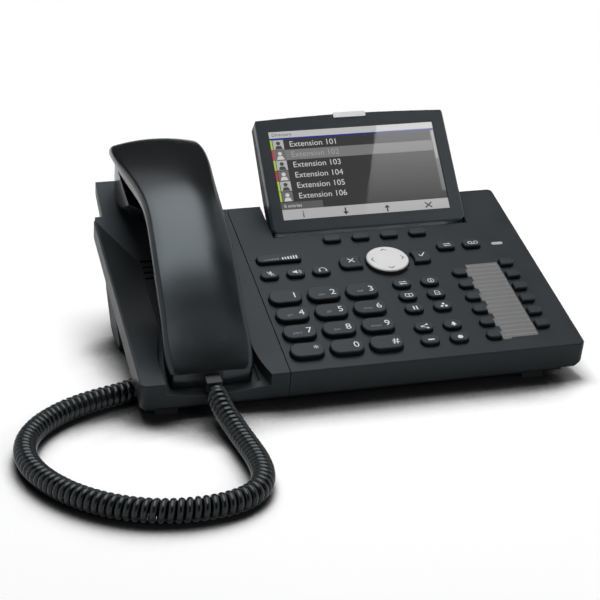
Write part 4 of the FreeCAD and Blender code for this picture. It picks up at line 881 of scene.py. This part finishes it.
def wire_piece(name, line, outward, material):
    """Round wire along a stretch of the coil."""
    mesh = bmesh.new()
    turns = [math.tau * k / WIRE_SIDES for k in range(WIRE_SIDES)]
    reach = WIRE_DIAMETER / 2 * MM
    rings = []
    for i, (point, out) in enumerate(zip(line, outward)):
        along = (line[min(i + 1, len(line) - 1)] - line[max(i - 1, 0)]).normalized()
        across = along.cross(out).normalized()
        radial = across.cross(along)
        around = [radial * math.cos(a) + across * math.sin(a) for a in turns]
        rings.append([mesh.verts.new(point + side * reach) for side in around])
    for ring, following in zip(rings, rings[1:]):
        for k in range(WIRE_SIDES):
            after = (k + 1) % WIRE_SIDES
            mesh.faces.new([ring[k], ring[after], following[after], following[k]])
    mesh.faces.new(rings[0][::-1])
    mesh.faces.new(rings[-1])
    piece = new_piece(name, mesh, [material])
    for face in piece.data.polygons:
        face.use_smooth = True
    return piece


def curly_cord(material):
    """The coil in two stretches: one near the handset, left unattached, and one that stays on the table and
    rides on the base.
    """
    line, outward = coil_line()
    split = round(LIFTING_LENGTH / COIL_PITCH * COIL_STEPS)
    upper = line[:split + 1]
    lower = line[split:]
    rising = wire_piece("cord_rising", upper, outward[:split + 1], material)
    lying = wire_piece("cord_lying", lower, outward[split:], material)
    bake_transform(rising)
    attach(lying, "base")
    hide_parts("curly_cord")


# Studio

def light_path(nodes, link):
    """1 for rays that show the background: from the camera, off gloss or through glass."""
    path = nodes.new("ShaderNodeLightPath")
    total = path.outputs["Is Camera Ray"]
    for name in ("Is Glossy Ray", "Is Transmission Ray"):
        larger = nodes.new("ShaderNodeMath")
        larger.operation = "MAXIMUM"
        link(total, larger.inputs[0])
        link(path.outputs[name], larger.inputs[1])
        total = larger.outputs["Value"]
    return total


def white_world():
    """Weak even light from all round, which shows as plain white."""
    world = bpy.data.worlds.new("studio")
    world.use_nodes = True
    bpy.context.scene.world = world
    nodes = world.node_tree.nodes
    link = world.node_tree.links.new
    lit = nodes["Background"]
    lit.inputs["Color"].default_value = grey(1.0)
    lit.inputs["Strength"].default_value = WORLD_LEVEL
    seen = nodes.new("ShaderNodeBackground")
    seen.inputs["Color"].default_value = grey(1.0)
    seen.inputs["Strength"].default_value = 1.0
    choose = nodes.new("ShaderNodeMixShader")
    link(light_path(nodes, link), choose.inputs["Fac"])
    link(lit.outputs["Background"], choose.inputs[1])
    link(seen.outputs["Background"], choose.inputs[2])
    link(choose.outputs["Shader"], nodes["World Output"].inputs["Surface"])


def set_sheet(name, rows, material):
    """A sheet through rows of points, for the set round the phone."""
    mesh = bmesh.new()
    placed = [[mesh.verts.new(point) for point in row] for row in rows]
    for row, following in zip(placed, placed[1:]):
        for i in range(len(row) - 1):
            mesh.faces.new([row[i], row[i + 1], following[i + 1], following[i]])
    sheet = new_piece(name, mesh, [material])
    return sheet


def only_reflected(sheet):
    """Leaves a sheet to gloss and glass alone."""
    sheet.visible_camera = False
    sheet.visible_diffuse = False
    sheet.visible_shadow = False


def flag_light(sheet, names, state):
    """Keeps a sheet's light to some nodes, where state is INCLUDE, or off them, where it is EXCLUDE."""
    receivers = bpy.data.collections.new(sheet.name + "_receivers")
    for name in names:
        receivers.objects.link(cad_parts[name])
    for receiver in receivers.collection_objects:
        receiver.light_linking.link_state = state
    sheet.light_linking.receiver_collection = receivers


def white_floor():
    """Matte white that takes the phone's shadow, and turns to the backdrop's even white further out.

    The camera sees it darker where the phone stands close behind it: a painted shadow, beyond the shadow
    the lamps cast."""
    made, nodes, link = new_material("floor_white")
    nodes.remove(nodes["Principled BSDF"])
    matte = nodes.new("ShaderNodeBsdfDiffuse")
    look = nodes.new("ShaderNodeCombineXYZ")
    for name, part in zip("XYZ", PAINTED_SHADOW_LOOK):
        look.inputs[name].default_value = part
    # Painted shadow: the floor is darkened for the camera where this occlusion, looking back toward the
    # phone, finds it close
    open_sky = nodes.new("ShaderNodeAmbientOcclusion")
    open_sky.inputs["Distance"].default_value = PAINTED_SHADOW_REACH
    link(look.outputs["Vector"], open_sky.inputs["Normal"])
    painted_shadow = ranged(nodes, link, open_sky.outputs["AO"], *PAINTED_SHADOW_FADE, 1.0, 0.0, True)
    to_camera = nodes.new("ShaderNodeLightPath").outputs["Is Camera Ray"]
    painted_shadow = product(nodes, link, painted_shadow, to_camera)
    link(mixed(nodes, link, painted_shadow, grey(FLOOR_LEVEL), grey(PAINTED_SHADOW_LEVEL)), matte.inputs["Color"])
    glow = nodes.new("ShaderNodeEmission")
    glow.inputs["Color"].default_value = grey(1.0)
    reach = nodes.new("ShaderNodeVectorMath")
    reach.operation = "LENGTH"
    link(object_place(nodes), reach.inputs[0])
    far = ranged(nodes, link, reach.outputs["Value"], *FLOOR_FADE, 0.0, 1.0, True)
    choose = nodes.new("ShaderNodeMixShader")
    link(product(nodes, link, light_path(nodes, link), far), choose.inputs["Fac"])
    link(matte.outputs["BSDF"], choose.inputs[1])
    link(glow.outputs["Emission"], choose.inputs[2])
    link(choose.outputs["Shader"], nodes["Material Output"].inputs["Surface"])
    ends = (-FLOOR_HALF, FLOOR_HALF)
    set_sheet("floor", [[(x, y, 0.0) for x in ends] for y in ends], made)


def dark_tunnel():
    """A dark tunnel over the set, open to the left and right, that keeps the gloss deep."""
    made, nodes, link = new_material("tunnel_dark")
    nodes["Principled BSDF"].inputs["Base Color"].default_value = grey(0.02)
    nodes["Principled BSDF"].inputs["Roughness"].default_value = 0.9
    rows = []
    for i in range(TUNNEL_STEPS + 1):
        a = math.radians(TUNNEL_FROM + (180 - 2 * TUNNEL_FROM) * i / TUNNEL_STEPS)
        y = -TUNNEL_RADIUS * math.cos(a)
        z = TUNNEL_RADIUS * math.sin(a)
        rows.append([(x, y, z) for x in (-TUNNEL_HALF, TUNNEL_HALF)])
    only_reflected(set_sheet("dark_tunnel", rows, made))


def light_sheet():
    """The soft box as the gloss sees it: a broad sheet overhead that fades out to every side."""
    made, nodes, link = new_material("sheet_bright")
    nodes.remove(nodes["Principled BSDF"])
    glow = nodes.new("ShaderNodeEmission")
    place = nodes.new("ShaderNodeSeparateXYZ")
    link(object_place(nodes), place.inputs["Vector"])
    shares = []
    for axis, (start, full, fading, end) in (("X", SHEET_X), ("Y", SHEET_Y)):
        rising = ranged(nodes, link, place.outputs[axis], start, full, 0.0, 1.0, True)
        falling = ranged(nodes, link, place.outputs[axis], fading, end, 1.0, 0.0, True)
        shares.append(product(nodes, link, rising, falling))
    share = product(nodes, link, *shares)
    link(ranged(nodes, link, share, 0.0, 1.0, 0.0, SHEET_GLOW), glow.inputs["Strength"])
    link(glow.outputs["Emission"], nodes["Material Output"].inputs["Surface"])
    rows = [[(x, y, 0.0) for x in (SHEET_X[0], SHEET_X[3])] for y in (SHEET_Y[0], SHEET_Y[3])]
    sheet = set_sheet("light_sheet", rows, made)
    sheet.location = (0.0, 0.0, SHEET_HEIGHT)
    only_reflected(sheet)
    flag_light(sheet, DISPLAY_FRONT, "EXCLUDE")


def window_card():
    """A bright card over the camera, which the right part of the screen's glass mirrors."""
    made, nodes, link = new_material("card_bright")
    nodes.remove(nodes["Principled BSDF"])
    glow = nodes.new("ShaderNodeEmission")
    along = nodes.new("ShaderNodeSeparateXYZ")
    link(nodes.new("ShaderNodeTexCoord").outputs["Generated"], along.inputs["Vector"])
    link(ranged(nodes, link, along.outputs["Y"], *CARD_FADE, *CARD_GLOW), glow.inputs["Strength"])
    link(glow.outputs["Emission"], nodes["Material Output"].inputs["Surface"])
    left, low, width, height = SCREEN
    eye = DISPLAY.inverted() @ Vector(CAMERA_PLACE)
    eye.z = -eye.z
    rows = []
    for y in (-CARD_RISE, 1 + CARD_RISE):
        edge = CARD_EDGE + CARD_SLANT * (1 - 2 * y)
        seen = [Vector((left + x * width, low + (1 - y) * height, 0)) for x in (edge, CARD_RIGHT)]
        rows.append([DISPLAY @ (eye + (point - eye) * CARD_REACH) for point in seen])
    card = set_sheet("window_card", rows, made)
    only_reflected(card)
    flag_light(card, DISPLAY_FRONT, "INCLUDE")


def soft_box(name, place, size, power):
    """Rectangular lamp turned to the phone's middle, which the gloss doesn't see."""
    light = bpy.data.lights.new(name, "AREA")
    light.shape = "RECTANGLE"
    light.size, light.size_y = size
    light.energy = power
    lamp = bpy.data.objects.new(name, light)
    lamp.location = place
    lamp.rotation_mode = "QUATERNION"
    lamp.rotation_quaternion = (Vector(LAMP_AIM) - Vector(place)).to_track_quat("-Z", "Y")
    lamp.visible_camera = False
    lamp.visible_glossy = False
    bpy.context.scene.collection.objects.link(lamp)


def set_camera():
    data = bpy.data.cameras.new("camera")
    data.lens = CAMERA_LENS
    data.sensor_width = CAMERA_SENSOR
    data.clip_start = 0.02
    data.clip_end = 50.0
    camera = bpy.data.objects.new("camera", data)
    camera.location = CAMERA_PLACE
    camera.rotation_mode = "QUATERNION"
    camera.rotation_quaternion = Vector(CAMERA_AIM).to_track_quat("-Z", "Y")
    bpy.context.scene.collection.objects.link(camera)
    bpy.context.scene.camera = camera


bpy.context.scene.view_settings.view_transform = "Standard"
set_camera()
slots = dress_nodes()
curly_cord(slots["cord"])
white_ink = ink("white_ink", WHITE_INK)
dim_ink = ink("dim_ink", DIM_INK)
print_digits(white_ink, dim_ink)
print_signs(white_ink)
print_features(white_ink)
print_rocker(white_ink, dim_ink)
print_arrows(ink("dark_ink", DARK_INK))
print_label(slots["label_cover"], ink("label_ink", LABEL_INK))
screen_picture()
white_world()
white_floor()
dark_tunnel()
light_sheet()
window_card()
soft_box("soft_box_over", *OVER_LAMP)
soft_box("soft_box_front", *FRONT_LAMP)
